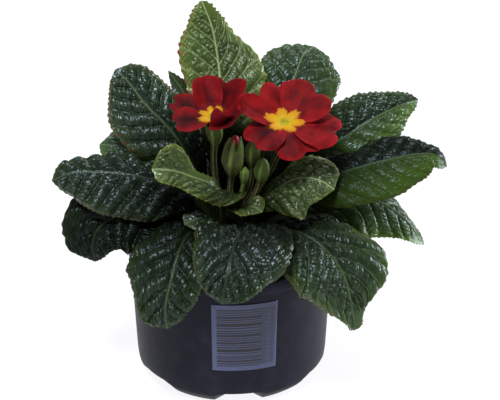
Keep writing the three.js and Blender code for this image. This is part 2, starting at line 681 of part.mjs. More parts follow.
    spine: [[-9, 18, 79], [-17, 32, 82], [-24, 45, 82], [-30, 57, 74], [-33, 62, 64]],
    face: [[0.35, 0.1, -0.1, 1], [0.7, -0.3, 0.5, 0.8], [1, -0.4, 0.9, 0.1]],
    half: [[0, 1.9, 1.9], [0.22, 4, 4], [0.42, 13, 13], [0.6, 18, 18], [0.8, 15, 15],
      [0.94, 8, 8], [1, 0, 0]],
    fold: [[0, 0, 0], [0.4, 4, 4], [1, 4, 4]],
    curl: [[0, 20, 20], [0.5, -24, -24], [1, -20, -20]],
    bare: 0.3, rows: 12, phase: 2,
  },
  {
    name: "leaf_back_fill_right",
    seat: [71, 70.5],
    spine: [[8, 18, 80], [16, 33, 84], [22, 47, 81], [27, 58, 73], [29, 63, 63]],
    face: [[0.35, -0.1, -0.1, 1], [0.7, 0.3, 0.5, 0.8], [1, 0.4, 0.9, 0.1]],
    half: [[0, 1.9, 1.9], [0.22, 4, 4], [0.42, 13, 13], [0.6, 18, 18], [0.8, 15, 15],
      [0.94, 8, 8], [1, 0, 0]],
    fold: [[0, 0, 0], [0.4, 4, 4], [1, 4, 4]],
    curl: [[0, 20, 20], [0.5, -24, -24], [1, -20, -20]],
    bare: 0.3, rows: 12,
  },
  {
    name: "leaf_back_side_left",
    seat: [177, 68],
    spine: [[-17, 3, 77], [-31, 8, 82], [-47, 13, 84], [-62, 18, 80], [-71, 22, 71],
      [-74, 24, 60]],
    face: [[0.35, 0.2, 0, 1], [0.7, -0.5, 0.2, 0.8], [1, -1, 0.3, 0.2]],
    half: [[0, 2, 2], [0.22, 4, 4], [0.42, 14, 14], [0.6, 19, 19], [0.8, 16, 16], [0.94, 9, 9],
      [1, 0, 0]],
    fold: [[0, 0, 0], [0.4, 4, 4], [1, 4, 4]],
    curl: [[0, 20, 20], [0.5, -24, -24], [1, -20, -20]],
    bare: 0.3, rows: 12, phase: 1,
  },
  {
    name: "leaf_back_side_right",
    seat: [15, 68],
    spine: [[17, 5, 77], [30, 10, 81], [45, 16, 82], [59, 22, 78], [68, 27, 69],
      [71, 29, 58]],
    face: [[0.35, -0.2, 0, 1], [0.7, 0.5, 0.2, 0.8], [1, 1, 0.3, 0.2]],
    half: [[0, 2, 2], [0.22, 4, 4], [0.42, 12, 12], [0.6, 16, 16], [0.8, 14, 14], [0.94, 8, 8],
      [1, 0, 0]],
    fold: [[0, 0, 0], [0.4, 4, 4], [1, 4, 4]],
    curl: [[0, 20, 20], [0.5, -24, -24], [1, -20, -20]],
    bare: 0.3, rows: 12, phase: 2,
  },
];

// ---------------------------------------------------------------- stalks, cups and buds
const STALK_SIDES = 10;

// A stalk swept along a curve from its seat [x, y] on the crown's flat top.
// body: rows of [share, radius, rib depth]. cup: [depth, wall, tooth] of the open end, if it has one.
function stalkGeometry({ seat, path, body, cup }) {
  const foot = CROWN_TOP + SEAT_GAP + 0.2;
  const curve = new THREE.CatmullRomCurve3(
    [V(...seat, foot), V(...seat, foot + 3), ...path.map((p) => V(...p))],
    false,
    "centripetal",
  );
  const frame = (share) => {
    const along = curve.getTangentAt(share);
    const right = along.clone().cross(V(0, 1, 0)).normalize();
    return { centre: curve.getPointAt(share), along, right, across: along.clone().cross(right) };
  };
  const ring = (share, radius, rib, push, tooth) => {
    const { centre, along, right, across } = frame(share);
    return Array.from({ length: STALK_SIDES }, (_, j) => {
      const angle = (j / STALK_SIDES) * 2 * Math.PI;
      const ridge = j % 2 === 0 ? rib : -rib;
      const high = push + (j % 2 === 0 ? tooth : -tooth);
      return centre
        .clone()
        .addScaledVector(right, (radius + ridge) * Math.cos(angle))
        .addScaledVector(across, (radius + ridge) * Math.sin(angle))
        .addScaledVector(along, high);
    });
  };
  const end = body.at(-1);
  const toothAt = (share) => (share === 1 && cup ? cup[2] : 0);
  const rings = body.map(([share, radius, rib]) => ring(share, radius, rib, 0, toothAt(share)));
  const top = frame(1);
  let last = top.centre.clone().addScaledVector(top.along, 0.8);
  if (cup) {
    rings.push(ring(1, end[1] - cup[1], 0, -0.4, cup[2] * 0.6));
    rings.push(ring(1, end[1] - cup[1] - 0.1, 0, -cup[0], 0));
    last = top.centre.clone().addScaledVector(top.along, -cup[0]);
  }
  return ringBody(rings, frame(0).centre, last);
}

// ---------------------------------------------------------------- blooms
const THROAT_R = 1.7;
const FUNNEL_R = 10;
const FUNNEL_RISE = 2.4;
const TUBE_R = 2.1;
const TUBE_LONG = 5;
const PETAL_ACROSS = [-1, -0.8, -0.45, 0, 0.45, 0.8, 1];
const PETAL_ALONG = [0, 0.4, 0.72, 1];
const EYE_GAP = 0.9;

function bloomFrame({ throat, axis }) {
  const up = V(...axis).normalize();
  const right = V(0, 1, 0).cross(up).normalize();
  return { origin: V(...throat), up, right, back: up.clone().cross(right) };
}

function funnelHeight(radius) {
  const share = Math.min(1, Math.max(0, (radius - THROAT_R) / (FUNNEL_R - THROAT_R)));
  return FUNNEL_RISE * share;
}

// Turn is measured from the bloom's right side towards its back, in degrees.
function petalSolid(frame, petal) {
  const { turn, long, wide, lift, cup, reflex, lean } = petal;
  const out = frame.right
    .clone()
    .multiplyScalar(Math.cos(turn * TURN))
    .addScaledVector(frame.back, Math.sin(turn * TURN));
  const side = out.clone().cross(frame.up);
  const columns = PETAL_ACROSS.map((v) =>
    PETAL_ALONG.map((u) => {
      const across = Math.abs(v);
      const rim = long * (1 - 0.3 * across ** 4 - 0.1 * Math.exp(-((v / 0.2) ** 2)));
      const reach = THROAT_R + (rim - THROAT_R) * u;
      const half = (wide / 2) * (0.2 + 0.8 * Math.sin(Math.min(1, u * 1.3) * (Math.PI / 2)));
      const aside = half * v;
      const radius = Math.hypot(reach, aside);
      const beyond = Math.max(0, radius - FUNNEL_R + 1);
      const free = Math.min(1, beyond / 5);
      const rise = Math.tan(lift * TURN) * beyond;
      const hollow = cup * across * across * u * free;
      const roll = -reflex * Math.max(0, u - 0.6) ** 2 * 6;
      const high = funnelHeight(radius) + rise + hollow + roll + lean * v * free;
      const top = frame.origin
        .clone()
        .addScaledVector(out, reach)
        .addScaledVector(side, aside)
        .addScaledVector(frame.up, high);
      return { place: u, top, bottom: top.clone().addScaledVector(frame.up, -PETAL_THICK) };
    }),
  );
  return toSolid(sheet(columns, false));
}

function petalsGeometry(bloom) {
  const frame = bloomFrame(bloom);
  const at = (radius, j, high) => {
    const angle = (j / STALK_SIDES) * 2 * Math.PI;
    return frame.origin
      .clone()
      .addScaledVector(frame.right, radius * Math.cos(angle))
      .addScaledVector(frame.back, radius * Math.sin(angle))
      .addScaledVector(frame.up, high);
  };
  const ring = (radius, high) => Array.from({ length: STALK_SIDES }, (_, j) => at(radius, j, high));
  const rings = [
    ring(TUBE_R - 0.3, -TUBE_LONG),
    ring(TUBE_R, -1.2),
    ring(TUBE_R + 1.2, -0.1),
    ring(TUBE_R + 0.6, 0.2),
  ];
  const tube = toSolid(ringBody(rings, at(0, 0, -TUBE_LONG), at(0, 0, 0)));
  const whole = joined([tube, ...bloom.petals.map((petal) => petalSolid(frame, petal))]);
  const bodies = whole.decompose().sort((a, b) => b.volume() - a.volume());
  return fromSolid(bodies[0]);
}

function eyeGeometry(bloom) {
  const frame = bloomFrame(bloom);
  const rays = bloom.petals.map((petal) => petal.turn * TURN);
  const count = 4 * rays.length;
  const at = (share, high) =>
    Array.from({ length: count }, (_, j) => {
      const ray = Math.floor(j / 4);
      const next = rays[(ray + 1) % rays.length] + (ray + 1 === rays.length ? 2 * Math.PI : 0);
      const angle = rays[ray] + ((next - rays[ray]) * (j % 4)) / 4;
      const wide = 1 + (bloom.eye - 7) * 0.04 * Math.cos(2 * angle);
      const radius = share * wide * bloom.eye * (j % 4 === 0 ? 1 : j % 4 === 2 ? 0.66 : 0.8);
      return frame.origin
        .clone()
        .addScaledVector(frame.right, radius * Math.cos(angle))
        .addScaledVector(frame.back, radius * Math.sin(angle))
        .addScaledVector(frame.up, funnelHeight(radius) + high);
    });
  const rings = [
    at(0.3, EYE_GAP),
    at(1, EYE_GAP),
    at(1, EYE_GAP + EYE_THICK * 0.7),
    at(0.35, EYE_GAP + EYE_THICK),
  ];
  const middle = (high) => frame.origin.clone().addScaledVector(frame.up, high);
  return ringBody(rings, middle(EYE_GAP), middle(EYE_GAP + EYE_THICK * 0.6));
}

const CUP_BODY = [[0, 1.3, 0.05], [0.2, 1.5, 0.05], [0.42, 1.6, 0.05], [0.64, 1.6, 0.05],
  [0.74, 1.8, 0.1], [0.8, 3.1, 0.35], [0.9, 4.2, 0.45], [1, 4, 0.3]];
const BUD_BODY = [[0, 1.2, 0.05], [0.25, 1.4, 0.05], [0.5, 1.5, 0.05], [0.7, 1.6, 0.1],
  [0.76, 2.9, 0.25], [0.86, 3.8, 0.4], [0.95, 2.8, 0.3], [1, 1, 0.1]];

const BLOOMS = [
  {
    name: "bloom_right",
    throat: [27, -12, 142],
    axis: [0.05, -0.4, 0.92],
    eye: 9.2,
    petals: [
      { turn: -12, long: 28.5, wide: 27, lift: 1, cup: -1, reflex: 2, lean: 1 },
      { turn: 46, long: 24.5, wide: 28, lift: 19, cup: 1.5, reflex: 1, lean: -0.7 },
      { turn: 100, long: 23, wide: 21, lift: 18, cup: 2, reflex: 1, lean: -0.6 },
      { turn: 170, long: 23, wide: 10.5, lift: 30, cup: 2, reflex: 0.5, lean: 1.2 },
      { turn: 225, long: 23, wide: 22, lift: 1, cup: -1, reflex: 2, lean: -1 },
      { turn: 302, long: 23.5, wide: 26, lift: -6, cup: -1, reflex: 2, lean: -1 },
    ],
    seat: [3.7, 1.2],
    stalk: [[8.4, 1.5, 92], [14.4, 2, 101], [20, 1.4, 110], [24, -2, 121]],
  },
  {
    name: "bloom_left",
    throat: [-9, -5, 142],
    axis: [-0.1, -0.32, 0.94],
    eye: 7.2,
    petals: [
      { turn: -50, long: 17.6, wide: 20.5, lift: 38, cup: 3, reflex: 0, lean: -4 },
      { turn: 64, long: 20.5, wide: 28, lift: 31, cup: 3, reflex: 0, lean: 2 },
      { turn: 97, long: 20, wide: 15, lift: 36, cup: 2, reflex: 0, lean: -1 },
      { turn: 151, long: 23, wide: 14, lift: 12, cup: 1, reflex: 1, lean: 1 },
      { turn: 196, long: 20, wide: 17, lift: 9, cup: 1, reflex: 1, lean: 1 },
      { turn: 284, long: 12.5, wide: 10, lift: 58, cup: 1, reflex: -1, lean: 8 },
    ],
    seat: [-3.7, 1.2],
    stalk: [[-5.6, 1.4, 93], [-8, 1.4, 106], [-8.6, 0.4, 119]],
  },
];

const BUDS = [
  {
    name: "bud_large",
    seat: [-2, -3.3],
    path: [[-1.2, -5, 93], [0, -6.5, 106], [1, -8, 117], [2.6, -9.6, 132]],
    body: [[0, 1.2, 0.05], [0.3, 1.4, 0.05], [0.56, 1.5, 0.1], [0.64, 3.4, 0.3],
      [0.77, 5.4, 0.6], [0.9, 4.8, 0.5], [1, 2.9, 0.3]],
    cup: [3, 0.7, 0.9],
  },
  {
    name: "bud_tall",
    seat: [0.2, 0.6],
    path: [[4.4, -1, 92], [9.6, -2.6, 103], [11, -3.6, 116], [11.4, -4, 128]],
    body: [[0, 1.2, 0.05], [0.3, 1.5, 0.05], [0.6, 1.5, 0.05], [0.72, 1.6, 0.1],
      [0.78, 2.9, 0.25], [0.88, 3.9, 0.4], [0.95, 3.3, 0.3], [1, 1.6, 0.1]],
  },
  {
    name: "bud_green",
    seat: [3.9, -2.4],
    path: [[8.4, -5.6, 93], [13.6, -9.2, 104], [15.6, -10.6, 113], [16.6, -11.6, 122]],
    body: BUD_BODY,
  },
  {
    name: "bud_small",
    seat: [1.2, -4],
    path: [[2.6, -7.2, 92], [5.2, -10, 102], [6.8, -10.6, 110], [7.4, -10.8, 117]],
    body: [[0, 1, 0.05], [0.4, 0.95, 0.05], [0.76, 1, 0.05], [0.84, 2, 0.2], [0.93, 2.3, 0.25],
      [1, 0.7, 0.1]],
  },
];

addNode("pot", potGeometry(), PLASTIC);
addNode("soil", soilGeometry(), PEAT);
addNode("crown", crownGeometry(), CROWN_SKIN);
addNode("printed_panel", panelGeometry(), PRINT);
for (const spec of LEAVES) {
  const leaf = new Leaf(spec);
  addNode(leaf.name, leaf.geometry(), leaf.young ? LEAF_YOUNG : LEAF_OLD);
}

for (const bloom of BLOOMS) {
  addNode(bloom.name + "_petals", petalsGeometry(bloom), PETAL_RED);
  addNode(bloom.name + "_eye", eyeGeometry(bloom), EYE_YELLOW);
  const along = V(...bloom.axis).normalize();
  const below = (depth) => V(...bloom.throat).addScaledVector(along, -depth).toArray();
  const path = [...bloom.stalk, below(12), below(2.6)];
  const stalk = { seat: bloom.seat, path, body: CUP_BODY, cup: [4, 1.2, 0.9] };
  addNode(bloom.name + "_stalk", stalkGeometry(stalk), STALK_GREEN);
}
for (const bud of BUDS) addNode(bud.name, stalkGeometry(bud), STALK_GREEN);

export default group;
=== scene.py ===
"""A red primrose growing in a plain nursery pot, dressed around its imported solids.

Tables and shape formulas are in millimetres, and Blender's meshes are in metres. The frame is
the part's own: the origin is the middle of the pot's foot, on the surface it stands on, +Z is up
and -Y is the side with the striped panel.
"""
import sys
import logging
import math
from dataclasses import dataclass, field
from enum import Enum

import bpy
import numpy as np
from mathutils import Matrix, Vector


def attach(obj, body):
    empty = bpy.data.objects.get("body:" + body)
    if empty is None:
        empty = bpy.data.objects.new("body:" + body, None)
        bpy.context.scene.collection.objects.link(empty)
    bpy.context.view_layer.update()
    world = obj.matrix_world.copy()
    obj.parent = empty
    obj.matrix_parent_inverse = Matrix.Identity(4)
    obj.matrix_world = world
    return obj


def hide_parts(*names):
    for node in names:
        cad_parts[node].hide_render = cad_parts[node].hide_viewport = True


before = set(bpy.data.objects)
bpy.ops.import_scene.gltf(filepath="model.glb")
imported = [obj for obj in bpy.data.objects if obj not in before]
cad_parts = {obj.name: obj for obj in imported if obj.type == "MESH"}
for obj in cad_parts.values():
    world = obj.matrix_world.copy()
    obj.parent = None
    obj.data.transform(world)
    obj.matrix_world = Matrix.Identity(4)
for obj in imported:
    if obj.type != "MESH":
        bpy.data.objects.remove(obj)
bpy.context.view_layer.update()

LOG = logging.getLogger("primrose")
MM = 0.001
TURN = math.pi / 180
BODY = "root"
Array = np.ndarray
Material = bpy.types.Material
Rows = tuple[tuple[float, ...], ...]

# Driving sizes, mm: the pot, the soil, the crown and how thick the plant's tissue is.
POT_RIM_R = 53.5
POT_HEIGHT = 72.0
POT_RIM_BAND = 7.0
POT_WALL = 1.2
POT_WALL_TOP_R = 52.6
POT_WALL_LOW_R = 49.9
POT_SHOULDER_Z = 12.0
POT_FOOT_R = 43.0
SOIL_TOP = 63.0
CROWN_R = 9.3
CROWN_LOW = 57.0
CROWN_TOP = 81.0
SEAT_GAP = 0.3
BLADE_THICK = 0.62
RIB_DEEP = 1.1


# ---------------------------------------------------------------- numbers and curves
def linear(code: str) -> tuple[float, float, float, float]:
    """Turns an sRGB hex colour into Blender's linear one.

    Args:
        code: six hex digits after a "#".

    Returns:
        Red, green and blue as linear shares, and a full alpha.
    """
    shares = [int(code[i : i + 2], 16) / 255 for i in (1, 3, 5)]
    bright = [s / 12.92 if s <= 0.04045 else ((s + 0.055) / 1.055) ** 2.4 for s in shares]
    return (bright[0], bright[1], bright[2], 1.0)


def ease(value: Array, low: float, high: float) -> Array:
    """Runs smoothly from 0 at low to 1 at high.

    Args:
        value: the numbers to ease.
        low: where it leaves 0.
        high: where it reaches 1.

    Returns:
        Shares from 0 to 1, in the shape of value.
    """
    share = np.clip((value - low) / (high - low), 0, 1)
    return share * share * (3 - 2 * share)


def between(rows: Rows, places: Array) -> Array:
    """Reads a table at any place, smoothly and without overshoot between its rows.

    Args:
        rows: rows of (place, value, ...), in order of place.
        places: where to read it, in any shape.

    Returns:
        The values, with one more axis than places.
    """
    table = np.asarray(rows, float)
    x, y = table[:, 0], table[:, 1:]
    run = np.diff(x)[:, None]
    grade = np.diff(y, axis=0) / run
    before, after = grade[:-1], grade[1:]
    both = np.where(before + after == 0, 1, before + after)
    inner = np.where(before * after > 0, 2 * before * after / both, 0)
    slope = np.vstack([grade[:1], inner, grade[-1:]])
    place = np.clip(places, x[0], x[-1])
    k = np.clip(np.searchsorted(x, place, side="right") - 1, 0, len(x) - 2)
    t = ((place - x[k]) / run[k, 0])[..., None]
    rise = y[k + 1] - y[k]
    start = slope[k] * run[k] - rise
    end = slope[k + 1] * run[k] - rise
    return y[k] + rise * t + t * (1 - t) * ((1 - t) * start - t * end)


def unit(vectors: Array) -> Array:
    """Scales vectors on the last axis to length 1."""
    return vectors / np.maximum(np.linalg.norm(vectors, axis=-1, keepdims=True), 1e-12)


def value_noise(points: Array, grain: float, seed: int) -> Array:
    """Smooth random heights over space, the same on every run.

    Args:
        points: places, with their coordinates on the last axis.
        grain: size of one bump, in the points' own unit.
        seed: which of the random patterns to read.

    Returns:
        Heights from 0 to 1.
    """
    place = points / grain
    cell = np.floor(place).astype(np.int64)
    t = place - cell
    t = t * t * (3 - 2 * t)
    primes = np.array([374761393, 668265263, 2147483647][: points.shape[-1]], np.int64)
    total = np.zeros(points.shape[:-1])
    for corner in np.ndindex(*(2,) * points.shape[-1]):
        mixed = ((cell + corner) * primes).sum(-1) + seed * 1442695041
        mixed = (mixed ^ (mixed >> 13)) * 1274126177
        height = ((mixed ^ (mixed >> 16)) & 0xFFFFFF) / 0xFFFFFF
        total += height * np.prod(np.where(corner, t, 1 - t), axis=-1)
    return total


def both_sides(*rows: tuple[float, ...]) -> Rows:
    """Rows of (place, left, right), where a row without a right value repeats its left one."""
    return tuple((*row, row[-1]) if len(row) == 2 else row for row in rows)


def by_side(rows: Rows, places: Array, side: Array) -> Array:
    """Reads a table that has a value for the left half and one for the right.

    Args:
        rows: rows of (place, left, right), in order of place.
        places: where to read it, in any shape.
        side: 0 for the left value and 1 for the right, at each place.

    Returns:
        The values, in the shape of places.
    """
    return np.take_along_axis(between(rows, places), side[..., None], -1)[..., 0]


def circle(count: int) -> Array:
    """Evenly spaced angles once round, in radians."""
    return np.arange(count) / count * 2 * math.pi


def around(radius: Array | float, angle: Array, z: Array | float) -> Array:
    """Points at radii and angles round the upright axis.

    Args:
        radius: distances from the axis, mm.
        angle: angles in radians.
        z: heights, mm.

    Returns:
        The points, in the shape that the three make together.
    """
    return np.stack(np.broadcast_arrays(radius * np.cos(angle), radius * np.sin(angle), z), -1)


class Spline:
    """A centripetal Catmull-Rom curve through points, read by share of its length."""

    STEPS = 48

    def __init__(self, points: list[tuple[float, ...]]) -> None:
        """Samples the curve densely.

        Args:
            points: the points that it passes through, in mm.
        """
        p = np.asarray(points, float)
        p = np.vstack([2 * p[0] - p[1], p, 2 * p[-1] - p[-2]])
        t = np.arange(self.STEPS)[:, None] / self.STEPS
        runs = []
        for a, b, c, d in zip(p, p[1:], p[2:], p[3:]):
            da, db, dc = (math.sqrt(np.linalg.norm(n - m)) for m, n in ((a, b), (b, c), (c, d)))
            leave = ((b - a) / da - (c - a) / (da + db) + (c - b) / db) * db
            reach = ((c - b) / db - (d - b) / (db + dc) + (d - c) / dc) * db
            third = 3 * (c - b) - 2 * leave - reach
            runs.append(b + leave * t + third * t**2 + (2 * (b - c) + leave + reach) * t**3)
        self.points = np.vstack([*runs, p[-2:-1]])
        steps = np.linalg.norm(np.diff(self.points, axis=0), axis=1)
        self.reach = np.concatenate([[0], np.cumsum(steps)])
        self.length = float(self.reach[-1])
        self.tangents = unit(np.gradient(self.points, self.reach, axis=0))

    def at(self, share: Array) -> tuple[Array, Array]:
        """Points and directions at shares of the length.

        Args:
            share: shares from 0 to 1, in any shape.

        Returns:
            The points and the unit directions there.
        """
        place = share * self.length
        axes = range(3)
        points = np.stack([np.interp(place, self.reach, self.points[:, k]) for k in axes], -1)
        along = np.stack([np.interp(place, self.reach, self.tangents[:, k]) for k in axes], -1)
        return points, unit(along)


# ---------------------------------------------------------------- meshes
class Shell:
    """Points, faces and point values of one piece while it is put together, in mm."""

    def __init__(self) -> None:
        """Starts with nothing in it."""
        self.points: list[Array] = []
        self.faces: list[Array] = []
        self.values: dict[str, list[Array]] = {}
        self.maps: list[Array] = []
        self.count = 0

    def add(
        self, points: Array, faces: list[Array], maps: list[Array] | None = None,
        **values: Array | float,
    ) -> None:
        """Adds one closed body, turned so that its faces look outward.

        Args:
            points: its points, with coordinates on the last axis.
            faces: arrays of triangles or quads, as point numbers.
            maps: for each array of faces, the flat place of each corner, in mm.
            values: a number for each point, by attribute name.
        """
        points = points.reshape(-1, 3)
        middle = points.mean(0)
        fan = np.vstack([f[:, [0, k, k + 1]] for f in faces for k in range(1, f.shape[1] - 1)])
        a, b, c = (points[fan[:, k]] - middle for k in range(3))
        if np.einsum("ij,ij->i", a, np.cross(b, c)).sum() < 0:
            faces = [f[:, ::-1] for f in faces]
            maps = maps and [m[:, ::-1] for m in maps]
        self.points.append(points)
        self.faces += [f + self.count for f in faces]
        self.maps += maps or []
        for name, value in values.items():
            spread = np.broadcast_to(np.asarray(value, float).reshape(-1), (len(points),))
            self.values.setdefault(name, []).append(spread)
        self.count += len(points)

    def add_sheet(
        self, top: Array, under: Array, values: dict[str, Array], below: dict[str, float],
        flat: Array | None = None,
    ) -> None:
        """Adds a thin closed sheet, whose under side has every second point of its top side.

        Args:
            top: points of the top side, rows by columns, both odd in number.
            under: points of the under side, at every second row and column of the top.
            values: numbers for the top's points, by attribute name.
            below: the number that the whole under side has instead, for some of those names.
            flat: where the top's points lie when it is spread out, mm.
        """
        faces = sheet_faces(top.shape[:2], under.shape[:2])
        both = {}
        for name, value in values.items():
            value = np.broadcast_to(value, top.shape[:2])
            halved = np.full(under.shape[:2], below[name]) if name in below else value[::2, ::2]
            both[name] = np.append(value, halved)
        points = np.vstack([top.reshape(-1, 3), under.reshape(-1, 3)])
        self.add(points, faces, None if flat is None else spread_out(flat, faces), **both)

    def piece(self, name: str, material: Material, slot: str, *nodes: str) -> bpy.types.Object:
        """Makes the Blender object, which then rides on the part and stands for its nodes.

        Args:
            name: the object's name.
            material: its finish.
            slot: a material slot's name; not used.
            nodes: the solids that it stands for.

        Returns:
            The object.
        """
        mesh = bpy.data.meshes.new(name)
        points = np.vstack(self.points) * MM
        corners = np.concatenate([f.ravel() for f in self.faces])
        sizes = np.concatenate([np.full(len(f), f.shape[1]) for f in self.faces])
        mesh.vertices.add(len(points))
        mesh.vertices.foreach_set("co", points.ravel())
        mesh.loops.add(len(corners))
        mesh.loops.foreach_set("vertex_index", corners.astype(np.int32))
        mesh.polygons.add(len(sizes))
        mesh.polygons.foreach_set("loop_start", (np.cumsum(sizes) - sizes).astype(np.int32))
        mesh.polygons.foreach_set("use_smooth", np.ones(len(sizes), bool))
        for label, parts in self.values.items():
            layer = mesh.attributes.new(label, "FLOAT", "POINT")
            layer.data.foreach_set("value", np.concatenate(parts).astype(np.float32))
        if self.maps:
            flat = np.concatenate([m.reshape(-1, 2) for m in self.maps])
            flat = flat - flat.min(0)
            layer = mesh.uv_layers.new(name="OFBake")
            layer.uv.foreach_set("vector", (flat / flat.max() * 0.98 + 0.01).ravel())
        mesh.update(calc_edges=True)
        mesh.materials.append(material)
        made = bpy.data.objects.new(name, mesh)
        bpy.context.scene.collection.objects.link(made)
        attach(made, BODY)
        if nodes:
            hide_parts(*nodes)
        LOG.info("%s: %d triangles", name, int((sizes - 2).sum()))
        return made


def grid_faces(rows: int, columns: int, first: int = 0) -> Array:
    """Quads of a grid whose points are numbered row by row.

    Args:
        rows: how many rows of points.
        columns: how many points in a row.
        first: the number of its first point.

    Returns:
        The quads as point numbers.
    """
    number = np.arange(rows * columns).reshape(rows, columns) + first
    quads = [number[:-1, :-1], number[:-1, 1:], number[1:, 1:], number[1:, :-1]]
    return np.stack(quads, -1).reshape(-1, 4)


def border(number: Array) -> Array:
    """The numbers round the edge of a grid, in order, from its first corner."""
    return np.concatenate([number[0, :-1], number[:-1, -1], number[-1, :0:-1], number[:0:-1, 0]])


def sheet_faces(top: tuple[int, int], under: tuple[int, int]) -> list[Array]:
    """Faces of a closed sheet whose under side has every second point of its top side.

    Args:
        top: rows and columns of points on the top side, both odd.
        under: rows and columns of points on the under side.

    Returns:
        Top quads, under quads and the triangles of the edge, for top points then under points.
    """
    over_count = top[0] * top[1]
    over = np.arange(over_count).reshape(top)
    below = np.arange(under[0] * under[1]).reshape(under) + over_count
    upper, lower = border(over), border(below)
    a, b, c = upper[::2], upper[1::2], np.roll(upper, -2)[::2]
    p, q = lower, np.roll(lower, -1)
    edge = np.vstack([np.stack(t, -1) for t in ((a, p, b), (b, p, q), (b, q, c))])
    return [grid_faces(*top), grid_faces(*under, over_count)[:, ::-1], edge]


def spread_out(flat: Array, faces: list[Array]) -> list[Array]:
    """Flat places of a sheet's corners, with its top and its under side next to each other.

    Args:
        flat: the top's flat places, mm.
        faces: top quads, under quads and edge triangles.

    Returns:
        For each array of faces, the flat place of each corner.
    """
    gap, rim = 3, 0.6
    wide = np.ptp(flat[..., 0]) + gap
    halved = flat[::2, ::2] + (wide, 0)
    places = np.vstack([flat.reshape(-1, 2), halved.reshape(-1, 2)])
    push = np.zeros_like(flat)
    push[:, 0, 0], push[:, -1, 0], push[0, :, 1], push[-1, :, 1] = -rim, rim, -rim, rim
    outer = np.vstack([(flat + (wide, 0) + push).reshape(-1, 2), halved.reshape(-1, 2)])
    return [places[faces[0]], places[faces[1]], outer[faces[2]]]


def ring_body(rings: Array, first: Array, last: Array) -> tuple[Array, list[Array]]:
    """A closed body from rings of points, with a middle point at each end.

    Args:
        rings: rings by points by coordinates.
        first: the middle point of the first ring's end.
        last: the middle point of the last ring's end.

    Returns:
        The points, and the arrays of faces.
    """
    count, sides = rings.shape[:2]
    number = np.arange(count * sides).reshape(count, sides)
    following = np.roll(number, -1, axis=1)
    corners = (number[:-1], following[:-1], following[1:], number[1:])
    quads = np.stack(corners, -1).reshape(-1, 4)
    low = count * sides
    fans = np.vstack([
        np.stack([np.full(sides, low), following[0], number[0]], -1),
        np.stack([np.full(sides, low + 1), number[-1], following[-1]], -1),
    ])
    return np.vstack([rings.reshape(-1, 3), first, last]), [quads, fans]


# ---------------------------------------------------------------- finishes
def add_node(
    tree: bpy.types.NodeTree, kind: str, inputs: dict[str | int, object] | None = None,
    out: str | int = 0, **settings: object,
) -> bpy.types.NodeSocket | None:
    """Adds a node with its settings, and fills or links its sockets.

    Args:
        tree: the tree that it goes in.
        kind: the node's type name, without the "ShaderNode" in front.
        inputs: a value or a socket to link, by the input's name or number.
        out: name or number of the output to hand back.
        settings: the node's own properties.

    Returns:
        The chosen output, or None where the node has no outputs.
    """
    node = tree.nodes.new("ShaderNode" + kind)
    for name, value in settings.items():
        setattr(node, name, value)
    for name, value in (inputs or {}).items():
        if isinstance(value, bpy.types.NodeSocket):
            tree.links.new(value, node.inputs[name])
        else:
            node.inputs[name].default_value = value
    return node.outputs[out] if node.outputs else None


def start_material(name: str) -> tuple[Material, bpy.types.NodeTree]:
    """An empty node material.

    Args:
        name: the material's name.

    Returns:
        The material and its node tree.
    """
    material = bpy.data.materials.new(name)
    material.use_nodes = True
    material.node_tree.nodes.clear()
    return material, material.node_tree


def close_material(tree: bpy.types.NodeTree, sockets: dict[str, object]) -> None:
    """Ends a material in one Principled shader.

    Args:
        tree: the material's tree.
        sockets: values and links of the shader's inputs.
    """
    shader = add_node(tree, "BsdfPrincipled", sockets)
    add_node(tree, "OutputMaterial", {"Surface": shader})


# A mix node numbers its colour inputs and its colour output apart from those for numbers.
MIX_A, MIX_B = 6, 7
COLOUR_MIX = {"out": 2, "data_type": "RGBA"}


